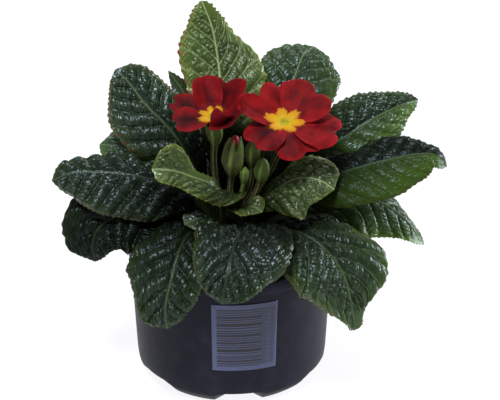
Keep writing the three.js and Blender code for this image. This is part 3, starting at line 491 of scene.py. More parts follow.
@dataclass(frozen=True)
class LeafCuticle:
    """Grown leaf blade under a thin wax cuticle.

    The wax gives each pucker a small cool glint, the grooves over the veins carry painted shade, and
    the tissue pales along the ribs and towards the margin, where the teeth are tipped red-brown.
    """

    name: str
    groove_shade_and_dark_tone: str
    green: str
    fresh: str
    vein: str
    tooth: str
    under: str
    glint: str
    roughness: float
    wax: float

    def build(self) -> Material:
        """Makes the material, which reads the blade's own point values."""
        material, tree = start_material(self.name)
        value = {
            label: add_node(tree, "Attribute", out="Fac", attribute_name=label)
            for label in ("pucker", "vein", "tooth", "fresh", "under", "painted_light", "wax")
        }
        place = add_node(tree, "TexCoord", out="Object")
        # Broad patches of tone, 9 mm across, as on any grown leaf.
        patch = add_node(tree, "TexNoise", {"Vector": place, "Scale": 1 / (9 * MM), "Detail": 3.0})
        # Cell grain of 0.5 mm. True cells are too fine to show, so it is drawn that coarse.
        grain = add_node(tree, "TexNoise", {"Vector": place, "Scale": 1 / (0.5 * MM), "Detail": 2.0})
        # Painted shade: the groove colour fills the grooves between the blisters, where the dome
        # share is low, and also stands for random dark tone where the broad patches are low.
        tone = add_node(tree, "Math", {0: value["pucker"], 1: patch}, operation="MULTIPLY")
        tone = add_node(tree, "MapRange", {"Value": tone, "From Min": 0.04, "From Max": 0.46})
        colour = add_node(
            tree, "Mix", {0: tone, MIX_A: linear(self.groove_shade_and_dark_tone), MIX_B: linear(self.green)},
            **COLOUR_MIX,
        )
        freshness = add_node(
            tree, "Math", {0: value["fresh"], 1: patch, 2: value["fresh"]},
            operation="MULTIPLY_ADD", use_clamp=True,
        )
        for share, code in (
            (freshness, self.fresh),
            (value["vein"], self.vein),
            (value["tooth"], self.tooth),
        ):
            colour = add_node(
                tree, "Mix", {0: share, MIX_A: colour, MIX_B: linear(code)}, **COLOUR_MIX
            )
        pale = add_node(
            tree, "Mix", {0: value["vein"], MIX_A: linear(self.under), MIX_B: linear(self.vein)},
            **COLOUR_MIX,
        )
        colour = add_node(tree, "Mix", {0: value["under"], MIX_A: colour, MIX_B: pale}, **COLOUR_MIX)
        # Painted light and shade: each blade's colour is scaled by its own factor, below 1 as painted
        # shade and above 1 as painted light, and lower towards the crown.
        colour = add_node(tree, "VectorMath", {0: colour, "Scale": value["painted_light"]}, operation="SCALE")
        dull = add_node(
            tree, "MapRange",
            {"Value": grain, "To Min": self.roughness - 0.08, "To Max": self.roughness + 0.1},
        )
        dull = add_node(tree, "Math", {0: value["under"], 1: 0.25, 2: dull}, operation="MULTIPLY_ADD")
        shine = add_node(
            tree, "Math", {0: value["wax"], 1: self.wax}, operation="MULTIPLY", use_clamp=True
        )
        # Small blisters of 1.3 mm inside the large ones, which are in the mesh.
        blister = add_node(
            tree, "TexVoronoi", {"Vector": place, "Scale": 1 / (1.3 * MM), "Smoothness": 0.6},
            feature="SMOOTH_F1",
        )
        height = add_node(tree, "Math", {0: grain, 1: 0.25, 2: blister}, operation="MULTIPLY_ADD")
        bump = add_node(
            tree, "Bump", {"Height": height, "Strength": 0.7, "Distance": 0.22 * MM}, invert=True
        )
        close_material(tree, {
            "Base Color": colour, "Roughness": dull, "Normal": bump, "IOR": 1.42,
            "Specular IOR Level": shine, "Specular Tint": linear(self.glint),
            "Subsurface Weight": 0.08, "Subsurface Radius": (0.4, 1.0, 0.2),
            "Subsurface Scale": 0.6 * MM,
        })
        return material


@dataclass(frozen=True)
class VelvetPetal:
    """Grown petal skin of tiny cone-shaped cells.

    The cones give it a velvety sheen at grazing angles and swallow the highlight. Painted shade
    deepens the red in the folds and hollows, and a painted highlight clears it along the rim.
    """

    name: str
    deep: str
    red: str
    rim: str
    painted_shade_red: str
    star: str
    throat: str
    under: str

    def build(self) -> Material:
        """Makes the material, which reads the petal's own point values."""
        material, tree = start_material(self.name)
        value = {
            label: add_node(tree, "Attribute", out="Fac", attribute_name=label)
            for label in ("across_mm", "along_mm", "rim", "star", "throat", "under", "deep")
        }
        # Fine veins that fan out from the throat, about 0.9 mm apart at the rim.
        streak_place = add_node(tree, "CombineXYZ", {0: value["across_mm"], 1: value["along_mm"]})
        streak = add_node(tree, "Mapping", {"Vector": streak_place, "Scale": (1 / 0.9, 1 / 9.0, 1.0)})
        streak = add_node(tree, "TexNoise", {"Vector": streak, "Scale": 1.0, "Detail": 2.0})
        place = add_node(tree, "TexCoord", out="Object")
        # Soft clouds of darker pigment, 7 mm across.
        cloud = add_node(tree, "TexNoise", {"Vector": place, "Scale": 1 / (7 * MM), "Detail": 1.0})
        tone = add_node(tree, "Math", {0: streak, 1: 0.45, 2: cloud}, operation="MULTIPLY_ADD")
        tone = add_node(tree, "MapRange", {"Value": tone, "From Min": 0.45, "From Max": 0.95})
        colour = add_node(
            tree, "Mix", {0: tone, MIX_A: linear(self.deep), MIX_B: linear(self.red)}, **COLOUR_MIX
        )
        # The rim colour is a painted highlight along the petal's edge, and the darkest red, read by
        # the deep share, is painted shade in the creases and hollows.
        for share, code in (
            (value["rim"], self.rim),
            (value["deep"], self.painted_shade_red),
            (value["under"], self.under),
            (value["star"], self.star),
            (value["throat"], self.throat),
        ):
            colour = add_node(
                tree, "Mix", {0: share, MIX_A: colour, MIX_B: linear(code)}, **COLOUR_MIX
            )
        grain = add_node(tree, "TexNoise", {"Vector": place, "Scale": 1 / (0.35 * MM)})
        height = add_node(tree, "Math", {0: streak, 1: 1.6, 2: grain}, operation="MULTIPLY_ADD")
        bump = add_node(tree, "Bump", {"Height": height, "Strength": 0.4, "Distance": 0.1 * MM})
        close_material(tree, {
            "Base Color": colour, "Roughness": 0.62, "Normal": bump, "IOR": 1.4,
            "Specular IOR Level": 0.1, "Subsurface Weight": 0.15,
            "Subsurface Radius": (1.0, 0.2, 0.15), "Subsurface Scale": 0.8 * MM,
            "Sheen Weight": 0.04, "Sheen Roughness": 0.4, "Sheen Tint": linear("#d04050"),
        })
        return material


@dataclass(frozen=True)
class EyeTissue:
    """Grown eye of the bloom, smooth and a little fleshy.

    Clear yellow in the lobes, warmer towards their tips and greenish round the throat.
    """

    name: str
    yellow: str
    warm: str
    throat: str

    def build(self) -> Material:
        """Makes the material, which reads how far each point is from the throat."""
        material, tree = start_material(self.name)
        reach = add_node(tree, "Attribute", out="Fac", attribute_name="reach")
        place = add_node(tree, "TexCoord", out="Object")
        # Mealy grain of 0.6 mm, which breaks the yellow up.
        grain = add_node(tree, "TexNoise", {"Vector": place, "Scale": 1 / (0.6 * MM), "Detail": 3.0})
        tips = add_node(tree, "Math", {0: grain, 1: 0.5, 2: reach}, operation="MULTIPLY_ADD")
        tips = add_node(tree, "MapRange", {"Value": tips, "From Min": 0.75, "From Max": 1.3})
        inner = add_node(tree, "MapRange", {"Value": reach, "From Min": 0.42, "From Max": 0.2})
        colour = add_node(
            tree, "Mix", {0: tips, MIX_A: linear(self.yellow), MIX_B: linear(self.warm)}, **COLOUR_MIX
        )
        colour = add_node(
            tree, "Mix", {0: inner, MIX_A: colour, MIX_B: linear(self.throat)}, **COLOUR_MIX
        )
        bump = add_node(tree, "Bump", {"Height": grain, "Strength": 0.5, "Distance": 0.12 * MM})
        close_material(tree, {
            "Base Color": colour, "Roughness": 0.5, "Normal": bump, "Specular IOR Level": 0.12,
            "Subsurface Weight": 0.12, "Subsurface Radius": (1.0, 0.6, 0.1),
            "Subsurface Scale": 0.6 * MM,
        })
        return material


@dataclass(frozen=True)
class HairyStem:
    """Grown stem skin under short soft hairs.

    Pale green where it is young, flushed red-brown where light reaches it, with ribs a little
    paler than the furrows and a dull sheen from the hairs.
    """

    name: str
    green: str
    flush: str
    rib: str
    red: str

    def build(self) -> Material:
        """Makes the material, which reads the stem's own point values."""
        material, tree = start_material(self.name)
        value = {
            label: add_node(tree, "Attribute", out="Fac", attribute_name=label)
            for label in ("flush", "ridge", "red")
        }
        place = add_node(tree, "TexCoord", out="Object")
        # Blotches of flush, 2.5 mm long.
        blotch = add_node(tree, "TexNoise", {"Vector": place, "Scale": 1 / (2.5 * MM), "Detail": 3.0})
        blotch = add_node(
            tree, "MapRange",
            {"Value": blotch, "From Min": 0.4, "From Max": 0.6, "To Min": 0.75, "To Max": 1.8},
        )
        share = add_node(
            tree, "Math", {0: blotch, 1: value["flush"]}, operation="MULTIPLY", use_clamp=True
        )
        ridge = add_node(
            tree, "MapRange",
            {"Value": value["ridge"], "From Min": 0.3, "From Max": 1.0, "To Max": 0.7},
        )
        colour = linear(self.green)
        for factor, code in ((share, self.flush), (ridge, self.rib), (value["red"], self.red)):
            colour = add_node(
                tree, "Mix", {0: factor, MIX_A: colour, MIX_B: linear(code)}, **COLOUR_MIX
            )
        grain = add_node(tree, "TexNoise", {"Vector": place, "Scale": 1 / (0.4 * MM)})
        bump = add_node(tree, "Bump", {"Height": grain, "Strength": 0.4, "Distance": 0.1 * MM})
        close_material(tree, {
            "Base Color": colour, "Roughness": 0.55, "Normal": bump, "Specular IOR Level": 0.25,
            "Subsurface Weight": 0.1, "Subsurface Radius": (0.6, 1.0, 0.3),
            "Subsurface Scale": 0.8 * MM, "Sheen Weight": 0.06, "Sheen Roughness": 0.5,
        })
        return material


@dataclass(frozen=True)
class MoistPeat:
    """Loose peat, milled and pressed into the pot while moist.

    Nearly black-brown, matt, with paler crumbs and a few damp glints.
    """

    name: str
    dark: str
    crumb: str
    fibre: str

    def build(self) -> Material:
        """Makes the material, which reads how pale each crumb is."""
        material, tree = start_material(self.name)
        pale = add_node(tree, "Attribute", out="Fac", attribute_name="pale")
        fibre = add_node(tree, "Attribute", out="Fac", attribute_name="fibre")
        place = add_node(tree, "TexCoord", out="Object")
        # Crumbs of about 1.3 mm.
        crumbs = add_node(
            tree, "TexVoronoi", {"Vector": place, "Scale": 1 / (1.3 * MM)}, out="Color", feature="F1"
        )
        shade = add_node(
            tree, "Math", {0: crumbs, 1: 0.6, 2: pale},
            operation="MULTIPLY_ADD", use_clamp=True,
        )
        colour = add_node(
            tree, "Mix", {0: shade, MIX_A: linear(self.dark), MIX_B: linear(self.crumb)}, **COLOUR_MIX
        )
        colour = add_node(
            tree, "Mix", {0: fibre, MIX_A: colour, MIX_B: linear(self.fibre)}, **COLOUR_MIX
        )
        grain = add_node(tree, "TexNoise", {"Vector": place, "Scale": 1 / (0.8 * MM), "Detail": 6.0})
        damp = add_node(tree, "MapRange", {"Value": grain, "To Min": 0.65, "To Max": 1.0})
        bump = add_node(tree, "Bump", {"Height": grain, "Strength": 0.9, "Distance": 0.5 * MM})
        close_material(tree, {
            "Base Color": colour, "Roughness": damp, "Normal": bump, "Specular IOR Level": 0.3,
        })
        return material


@dataclass(frozen=True)
class DrawnPolypropylene:
    """Thin recycled polypropylene sheet, heated and drawn over a mould.

    The drawing leaves faint upright flow marks and a soft satin gloss that is duller where soil
    and handling have scuffed it.
    """

    name: str
    base: str
    dust: str
    roughness: float

    def build(self) -> Material:
        """Makes the material."""
        material, tree = start_material(self.name)
        place = add_node(tree, "TexCoord", out="Object")
        # Upright flow marks, 1.6 mm wide and twelve times as tall.
        flow_place = add_node(
            tree, "Mapping",
            {"Vector": place, "Scale": (1 / (1.6 * MM), 1 / (1.6 * MM), 1 / (20 * MM))},
        )
        flow = add_node(tree, "TexNoise", {"Vector": flow_place, "Scale": 1.0, "Detail": 3.0})
        # Scuffs and dried splashes, 12 mm across.
        scuff = add_node(
            tree, "TexNoise",
            {"Vector": place, "Scale": 1 / (12 * MM), "Detail": 6.0, "Roughness": 0.65},
        )
        dusty = add_node(
            tree, "MapRange", {"Value": scuff, "From Min": 0.48, "From Max": 0.8, "To Max": 0.5}
        )
        # Dust specks up to 0.5 mm across, 2.4 mm apart.
        specks = add_node(
            tree, "TexVoronoi", {"Vector": place, "Scale": 1 / (2.4 * MM), "Randomness": 1.0},
            feature="F1",
        )
        specks = add_node(
            tree, "MapRange", {"Value": specks, "From Min": 0.1, "From Max": 0.04, "To Max": 0.35}
        )
        dusty = add_node(tree, "Math", {0: dusty, 1: specks}, operation="ADD", use_clamp=True)
        colour = add_node(
            tree, "Mix", {0: dusty, MIX_A: linear(self.base), MIX_B: linear(self.dust)}, **COLOUR_MIX
        )
        gloss = add_node(
            tree, "Math", {0: flow, 1: 0.16, 2: self.roughness - 0.08}, operation="MULTIPLY_ADD"
        )
        gloss = add_node(tree, "Math", {0: dusty, 1: 0.3, 2: gloss}, operation="MULTIPLY_ADD")
        bump = add_node(tree, "Bump", {"Height": flow, "Strength": 0.25, "Distance": 0.15 * MM})
        close_material(tree, {
            "Base Color": colour, "Roughness": gloss, "Normal": bump, "Specular IOR Level": 0.1,
        })
        return material


@dataclass(frozen=True)
class ScreenInk:
    """Pale ink screened onto the drawn pot, a film a few hundredths of a millimetre thick.

    It lies flat and satin, thins out in specks where the wall flexed, and leaves the pot's own
    dark plastic bare between its stripes.
    """

    name: str
    ink: str
    bare: str
    roughness: float

    def build(self) -> Material:
        """Makes the material, which reads where the ink lies."""
        material, tree = start_material(self.name)
        ink = add_node(tree, "Attribute", out="Fac", attribute_name="ink")
        place = add_node(tree, "TexCoord", out="Object")
        # Worn specks of 0.8 mm.
        wear = add_node(tree, "TexNoise", {"Vector": place, "Scale": 1 / (0.8 * MM), "Detail": 4.0})
        cover = add_node(
            tree, "MapRange",
            {"Value": wear, "From Min": 0.25, "From Max": 0.6, "To Min": 0.55, "To Max": 1.0},
        )
        cover = add_node(tree, "Math", {0: cover, 1: ink}, operation="MULTIPLY")
        colour = add_node(
            tree, "Mix", {0: cover, MIX_A: linear(self.bare), MIX_B: linear(self.ink)}, **COLOUR_MIX
        )
        gloss = add_node(tree, "Math", {0: wear, 1: 0.2, 2: self.roughness}, operation="MULTIPLY_ADD")
        bump = add_node(tree, "Bump", {"Height": cover, "Strength": 0.3, "Distance": 0.08 * MM})
        close_material(tree, {
            "Base Color": colour, "Roughness": gloss, "Normal": bump, "IOR": 1.49,
        })
        return material


@dataclass(frozen=True)
class OpalAcrylic:
    """Milky acrylic sheet of a light table, lit softly from beneath.

    It lets most of the studio's light through and glows itself, so the pot stands on an even
    white with a trace of shadow under its foot.
    """

    name: str
    milk: str
    cloud: str
    glow: str
    strength: float

    def build(self) -> Material:
        """Makes the material."""
        material, tree = start_material(self.name)
        place = add_node(tree, "TexCoord", out="Object")
        # Clouding of 30 mm in the cast sheet, barely darker than the rest.
        grain = add_node(tree, "TexNoise", {"Vector": place, "Scale": 1 / (30 * MM)})
        shade = add_node(tree, "MapRange", {"Value": grain, "To Min": 0.0, "To Max": 0.06})
        colour = add_node(
            tree, "Mix", {0: shade, MIX_A: linear(self.milk), MIX_B: linear(self.cloud)}, **COLOUR_MIX
        )
        close_material(tree, {
            "Base Color": colour, "Roughness": 0.9, "Specular IOR Level": 0.1,
            "Emission Color": linear(self.glow), "Emission Strength": self.strength,
        })
        return material


class Tone(Enum):
    """How old a leaf's blade is, which sets its cuticle."""

    GROWN = "leaf_old"
    YOUNG = "leaf_young"


# Each cuticle's groove colour is painted shade in the grooves between the blisters, and random dark
# tone in low patches.
CUTICLES = {
    Tone.GROWN: LeafCuticle(
        "waxy_leaf_grown", groove_shade_and_dark_tone="#0c120c", green="#242f22", fresh="#3d531c", vein="#5a6e48",
        tooth="#4c2a1e", under="#52683a", glint="#c6d7e2", roughness=0.25, wax=0.65,
    ),
    Tone.YOUNG: LeafCuticle(
        "waxy_leaf_young", groove_shade_and_dark_tone="#1d2714", green="#455831", fresh="#5f7628", vein="#9ba874",
        tooth="#653224", under="#68803f", glint="#dce3cc", roughness=0.28, wax=0.6,
    ),
}
# The rim colour is a painted highlight along the petals' edges, and the darkest red is painted shade
# in their folds and hollows.
PETAL_SKIN = VelvetPetal(
    "velvet_petal_grown", deep="#46060a", red="#840d10", rim="#9a181c", painted_shade_red="#2c0409",
    star="#d0921c", throat="#8f8f34", under="#6e1822",
)
EYE_SKIN = EyeTissue("eye_tissue_grown", yellow="#b8900a", warm="#ad6606", throat="#98901c")
STEM_SKIN = HairyStem(
    "hairy_stem_grown", green="#4d6424", flush="#35201a", rib="#76893f", red="#8a1018"
)
PEAT = MoistPeat("moist_peat_milled", dark="#17110c", crumb="#3d2c1e", fibre="#7a5c38")
POT_PLASTIC = DrawnPolypropylene(
    "polypropylene_drawn", base="#1c1d28", dust="#383944", roughness=0.46
)
PANEL_INK = ScreenInk("screen_ink_cured", ink="#4c5478", bare="#12131d", roughness=0.38)
TABLE_SHEET = OpalAcrylic(
    "opal_acrylic_cast", milk="#626264", cloud="#5c5c5e", glow="#fdfdff", strength=0.92
)


# ---------------------------------------------------------------- pot, panel, soil and crown
@dataclass
class NurseryPot:
    """The thin drawn pot, with its rim band, rounded shoulder and notched foot."""

    turns: int = 360
    notches: int = 6
    notch_turn: float = -84.5
    notch_deep: float = 4.2
    notch_flat: float = 13.2
    notch_flank: float = 6.0
    floor_z: float = 4.2
    floor_thick: float = 1.4
    boss_r: float = 6.0
    drain_r: float = 3.5
    drain_ring_r: float = 24.0
    drill_z: tuple[float, float] = (1.0, 8.0)
    crisp: float = 50.0

    @staticmethod
    def wall_radius(z: Array | float) -> Array | float:
        """The outer wall's radius at a height above the shoulder."""
        share = (z - POT_SHOULDER_Z) / (POT_HEIGHT - POT_RIM_BAND - POT_SHOULDER_Z)
        return POT_WALL_LOW_R + (POT_WALL_TOP_R - POT_WALL_LOW_R) * share

    def profile(self) -> Array:
        """The line that is turned to make the pot.

        Returns:
            Rows of (radius, height, share of the notches), from under the boss, round the
            outside and over the rim to the inner floor.
        """
        band = POT_HEIGHT - POT_RIM_BAND
        foot = POT_FOOT_R
        low = float(self.wall_radius(POT_SHOULDER_Z))
        side = ((0, foot, 1), (2.4, foot + 3, 0.9), (6.6, foot + 6.2, 0.25), (12, low, 0))
        heights = np.linspace(0, POT_SHOULDER_Z, 14)[1:]
        shoulder = [(r, z, n) for z, (r, n) in zip(heights, between(side, heights))]
        wall = [(float(self.wall_radius(z)), z, 0) for z in np.linspace(14, band - 0.6, 12)]
        inner_side = ((5.8, 38, 0), (7.2, foot + 0.4, 0), (12, low - POT_WALL, 0))
        inner_heights = np.linspace(POT_SHOULDER_Z, 5.8, 8)
        inner = [(r, z, 0) for z, (r, _) in zip(inner_heights, between(inner_side, inner_heights))]
        top = POT_HEIGHT
        return np.array([
            (self.boss_r - 0.5, 0, 0), (self.boss_r, 0.4, 0), (self.boss_r + 1, self.floor_z, 0),
            (foot - 4.5, self.floor_z, 0), (foot - 3.2, 2.2, 0.5), (foot - 1.6, 0, 1), (foot, 0, 1),
            *shoulder, *wall,
            (POT_WALL_TOP_R, band, 0), (POT_WALL_TOP_R + 0.4, band + 0.1, 0),
            (POT_RIM_R - 0.2, band + 0.5, 0), (POT_RIM_R - 0.05, band + 1, 0),
            (POT_RIM_R, top - 1, 0), (POT_RIM_R - 0.15, top - 0.4, 0), (POT_RIM_R - 0.6, top, 0),
            (POT_WALL_TOP_R - 0.2, top, 0), (POT_WALL_TOP_R - 0.6, top - 0.4, 0),
            (POT_WALL_TOP_R - POT_WALL, band, 0),
            (float(self.wall_radius(40)) - POT_WALL, 40, 0),
            *inner, (self.boss_r, self.floor_z + self.floor_thick, 0),
        ])

    def notch_rise(self, angle: Array) -> Array:
        """How far the foot's notches lift it.

        Args:
            angle: angles round the pot, in degrees.

        Returns:
            Heights above the ground, mm.
        """
        pitch = 360 / self.notches
        off = np.mod(angle - self.notch_turn + pitch / 2, pitch) - pitch / 2
        along = np.abs(off) * TURN * POT_FOOT_R
        return self.notch_deep * (1 - np.clip((along - self.notch_flat / 2) / self.notch_flank, 0, 1))

    def build(self) -> None:
        """Turns the profile, cuts the drain holes and dresses the pot."""
        radius, height, notch = (column[:, None] for column in self.profile().T)
        angle = np.arange(self.turns)[None, :] * 360 / self.turns
        z = height + notch * self.notch_rise(angle)
        rings = around(radius, angle * TURN, z)
        shell = Shell()
        middle = np.array([0, 0, self.floor_z + self.floor_thick])
        shell.add(*ring_body(rings, np.zeros(3), middle))
        pot = shell.piece("nursery_pot", POT_PLASTIC.build(), "pot_plastic", "pot")
        self.cut_drains(pot)
        pot.data.set_sharp_from_angle(angle=self.crisp * TURN)

    def cut_drains(self, pot: bpy.types.Object) -> None:
        """Cuts the ring of drain holes through the floor.

        Args:
            pot: the pot's object, whose mesh is changed.
        """
        cutter = Shell()
        turn = circle(24)
        for k in range(self.notches):
            place = (self.notch_turn + 360 / self.notches * (k + 0.5)) * TURN
            x = self.drain_ring_r * math.cos(place) + self.drain_r * np.cos(turn)
            y = self.drain_ring_r * math.sin(place) + self.drain_r * np.sin(turn)
            rings = np.stack([np.stack([x, y, np.full_like(x, z)], -1) for z in self.drill_z])
            cutter.add(*ring_body(rings, rings[0].mean(0), rings[1].mean(0)))
        drill = cutter.piece("drain_cutter", pot.data.materials[0], "pot_plastic")
        cut = pot.modifiers.new("drains", "BOOLEAN")
        cut.object = drill
        cut.operation = "DIFFERENCE"
        cut.solver = "EXACT"
        view = bpy.context.evaluated_depsgraph_get()
        pot.data = bpy.data.meshes.new_from_object(pot.evaluated_get(view))
        pot.modifiers.clear()
        bpy.data.objects.remove(drill)


@dataclass
class StripedPanel:
    """The pale block of plain stripes that is printed on the pot's wall."""

    turn_from: float = -100.5
    turn_to: float = -63.4
    low: float = 22.1
    tall: float = 38.5
    thick: float = 0.35
    clear: float = 0.05
    rows: int = 241
    columns: int = 61
    border_mm: float = 2.6
    stripe_right: float = 8.0
    column_right: float = 1.6
    column_z: tuple[float, float] = (3.0, 36.0)
    dash_right: float = 4.4
    dash_half: float = 0.9
    dash_pitch: float = 2.4
    dash_tall: float = 1.0
    bar_share: float = 0.85
    column_share: float = 0.5
    bars: tuple[int, ...] = (1, 1, 1, 1, 2, 1, 1, 1, 1, 2, 1, 1, 3, 1, 1, 1, 1, 1, 2, 1)
    bar_mm: float = 0.6

    def ink(self, x: Array, z: Array, wide: float) -> Array:
        """Where the ink lies.

        Args:
            x: distance from the panel's left edge, mm.
            z: distance from its lower edge, mm.
            wide: the panel's width, mm.

        Returns:
            1 in the ink and less between the stripes, with painted shade that darkens it towards the
            upper right.
        """
        edges = np.cumsum(self.bars) * self.bar_mm
        place = np.mod(z - self.border_mm, edges[-1])
        pale = np.searchsorted(edges, place) % 2 == 1
        inside = (x > self.border_mm) & (x < wide - self.stripe_right)
        inside = inside & (z > self.border_mm) & (z < self.tall - self.border_mm)
        column = (x >= wide - self.stripe_right) & (x < wide - self.column_right)
        column = column & (z > self.column_z[0]) & (z < self.column_z[1])
        dash = column & (np.abs(x - wide + self.dash_right) < self.dash_half)
        dash = dash & (np.mod(z, self.dash_pitch) < self.dash_tall)
        bars = np.where(pale, self.bar_share, 0.0)
        ink = np.where(inside, bars, np.where(column, self.column_share, 1.0))
        ink = np.where(dash, self.bar_share, ink)
        # Painted shade: the ink darkens towards the panel's upper right.
        return ink * (1 - 0.35 * ease(x / wide + z / self.tall, 1.1, 1.9))

    def build(self) -> None:
        """Lays the panel's film on the wall and dresses it."""
        wide = (self.turn_to - self.turn_from) * TURN * POT_WALL_LOW_R
        x = np.linspace(0, wide, self.columns)[None, :]
        z = np.linspace(0, self.tall, self.rows)[:, None]
        angle = (self.turn_from + (self.turn_to - self.turn_from) * x / wide) * TURN
        base = NurseryPot.wall_radius(z + self.low) + self.clear
        top = around(base + self.thick, angle, z + self.low)
        under = around(base, angle, z + self.low)[::2, ::2]
        shell = Shell()
        shell.add_sheet(top, under, {"ink": self.ink(x, z, wide)}, {})
        shell.piece("striped_panel", PANEL_INK.build(), "panel_print", "printed_panel")


@dataclass
class PeatSoil:
    """The peat that fills the pot round the crown, with loose crumbs and fibres on top."""

    turns: int = 150
    surface_rings: int = 40
    floor_z: float = 5.9
    wall_gap: float = 0.35
    hole_r: float = 10.2
    lump: float = 1.1
    crumbs: int = 200
    fibres: int = 46
    loose_r: tuple[float, float] = (12.5, 47.0)
    seed: int = 7

    def height(self, x: Array, y: Array) -> Array:
        """The surface's height at each place.

        Args:
            x: distances to the right, mm.
            y: distances to the back, mm.

        Returns:
            Heights above the ground, mm.
        """
        broad = np.sin(x * 0.13 + 1.2) * np.cos(y * 0.11 - 0.5)
        lumps = np.sin(x * 0.61 + y * 0.23) * np.sin(y * 0.53 - x * 0.31 + 2)
        place = np.stack([x, y], -1)
        fine = value_noise(place, 2.6, 3) - 0.5 + 0.6 * (value_noise(place, 1.1, 5) - 0.5)
        return SOIL_TOP + self.lump * (0.5 * broad + 0.8 * lumps) + 1.3 * fine

    def build(self) -> None:
        """Makes the filled body, its crumbs and its fibres, and dresses them."""
        shell = Shell()
        angle = circle(self.turns)
        floor, side = self.floor_z, self.side_radius
        sides = ((20, floor), (38, floor), (42.5, floor + 1.9), (side(POT_SHOULDER_Z), 13.2),
                 (side(40), 40))
        surface = np.linspace(side(SOIL_TOP), self.hole_r, self.surface_rings)
        rings = [self.ring(angle, radius, z) for radius, z in sides]
        rings += [self.ring(angle, radius, None) for radius in surface]
        rings += [self.ring(angle, radius, z) for radius, z in ((9.9, 60), (9.6, CROWN_LOW))]
        ends = np.array([0, 0, floor]), np.array([0, 0, CROWN_LOW - 0.2])
        shell.add(*ring_body(np.stack(rings), *ends), pale=0.15, fibre=0)
        draw = np.random.default_rng(self.seed)
        for _ in range(self.crumbs):
            self.add_crumb(shell, draw)
        for _ in range(self.fibres):
            self.add_fibre(shell, draw)
        shell.piece("peat_soil", PEAT.build(), "soil_peat", "soil")

    def side_radius(self, z: float) -> float:
        """The soil's radius against the pot's wall at a height, mm."""
        return float(NurseryPot.wall_radius(z)) - POT_WALL - self.wall_gap

    def ring(self, angle: Array, radius: float, z: float | None) -> Array:
        """A ring of points.

        Args:
            angle: its points' angles, in radians.
            radius: its radius, mm.
            z: its height, mm, or None for a ring on the surface.

        Returns:
            The points.
        """
        x, y = radius * np.cos(angle), radius * np.sin(angle)
        return around(radius, angle, self.height(x, y) if z is None else z)

    def spot(self, draw: np.random.Generator) -> Array:
        """A random place on the surface, between the crown and the wall.

        Args:
            draw: the random numbers.

        Returns:
            The point, mm.
        """
        inner, outer = self.loose_r
        radius = math.sqrt(draw.uniform(inner**2, outer**2))
        turn = draw.uniform(0, 2 * math.pi)
        x, y = radius * math.cos(turn), radius * math.sin(turn)
        return np.array([x, y, float(self.height(np.array(x), np.array(y)))])

    def add_crumb(self, shell: Shell, draw: np.random.Generator) -> None:
        """Adds a crumb of peat, half sunk in the surface.

        Args:
            shell: the soil's shell.
            draw: the random numbers.
        """
        size = draw.uniform(0.7, 2.0)
        lean = np.array([-60, -25, 10, 45, 70]) * TURN
        radius = size * np.cos(lean)[:, None] * draw.uniform(0.75, 1.2, (5, 8))
        high = np.broadcast_to(size * 0.7 * np.sin(lean)[:, None], (5, 8))
        rings = around(radius, circle(8), high) + self.spot(draw) + np.array([0, 0, size * 0.1])
        ends = rings[0].mean(0) - (0, 0, size * 0.1), rings[-1].mean(0) + (0, 0, size * 0.1)
        shell.add(*ring_body(rings, *ends), pale=draw.uniform(0, 0.9), fibre=0)

    def add_fibre(self, shell: Shell, draw: np.random.Generator) -> None:
        """Adds a short root fibre that lies bent on the surface.

        Args:
            shell: the soil's shell.
            draw: the random numbers.
        """
        start, turn = self.spot(draw), draw.uniform(0, 2 * math.pi)
        shares = np.linspace(0, 1, 9)
        turns = turn + draw.uniform(-1.6, 1.6) * shares
        steps = np.stack([np.cos(turns), np.sin(turns)], -1) * draw.uniform(0.6, 1.3)
        flat = start[:2] + np.cumsum(steps, axis=0)
        flat = flat * np.minimum(1, self.loose_r[1] / np.linalg.norm(flat, axis=1))[:, None]
        middle = np.column_stack([flat, self.height(flat[:, 0], flat[:, 1]) + 0.25])
        thick = draw.uniform(0.12, 0.28)
        angle = circle(5)[None, :, None]
        side = unit(np.gradient(middle, axis=0))[:, [1, 0, 2]] * (-1, 1, 0)
        bend = side[:, None] * np.cos(angle) + np.array([0, 0, 1.0]) * np.sin(angle)
        rings = middle[:, None] + thick * bend
        shell.add(*ring_body(rings, middle[0], middle[-1]), pale=0.6, fibre=1)


@dataclass
class Crown:
    """The short stump that the leaves and stalks grow from."""

    turns: int = 96
    ridge_deep: float = 0.7

    def build(self) -> None:
        """Makes the ribbed stump and dresses it."""
        rows = ((CROWN_LOW, CROWN_R - 1), (58, CROWN_R - 0.4), (66, CROWN_R - 0.1), (70, CROWN_R),
                (78, CROWN_R), (80, CROWN_R - 1), (CROWN_TOP, CROWN_R - 2.8))
        z = np.linspace(CROWN_LOW, CROWN_TOP, 60)
        angle = circle(self.turns)
        ridge = value_noise(around(8, angle, z[:, None] / 5), 1.3, 11)
        radius = between(rows, z) - self.ridge_deep * ridge
        rings = around(radius, angle, z[:, None])
        ends = np.array([0, 0, CROWN_LOW]), np.array([0, 0, CROWN_TOP - 0.2])
        flush = np.append(0.35 + 0.5 * (1 - ridge).ravel(), [0.5, 0.5])
        shell = Shell()
        shell.add(*ring_body(rings, *ends), flush=flush, ridge=0, red=0)
        shell.piece("crown_stump", STEM_SKIN.build(), "crown_skin", "crown")


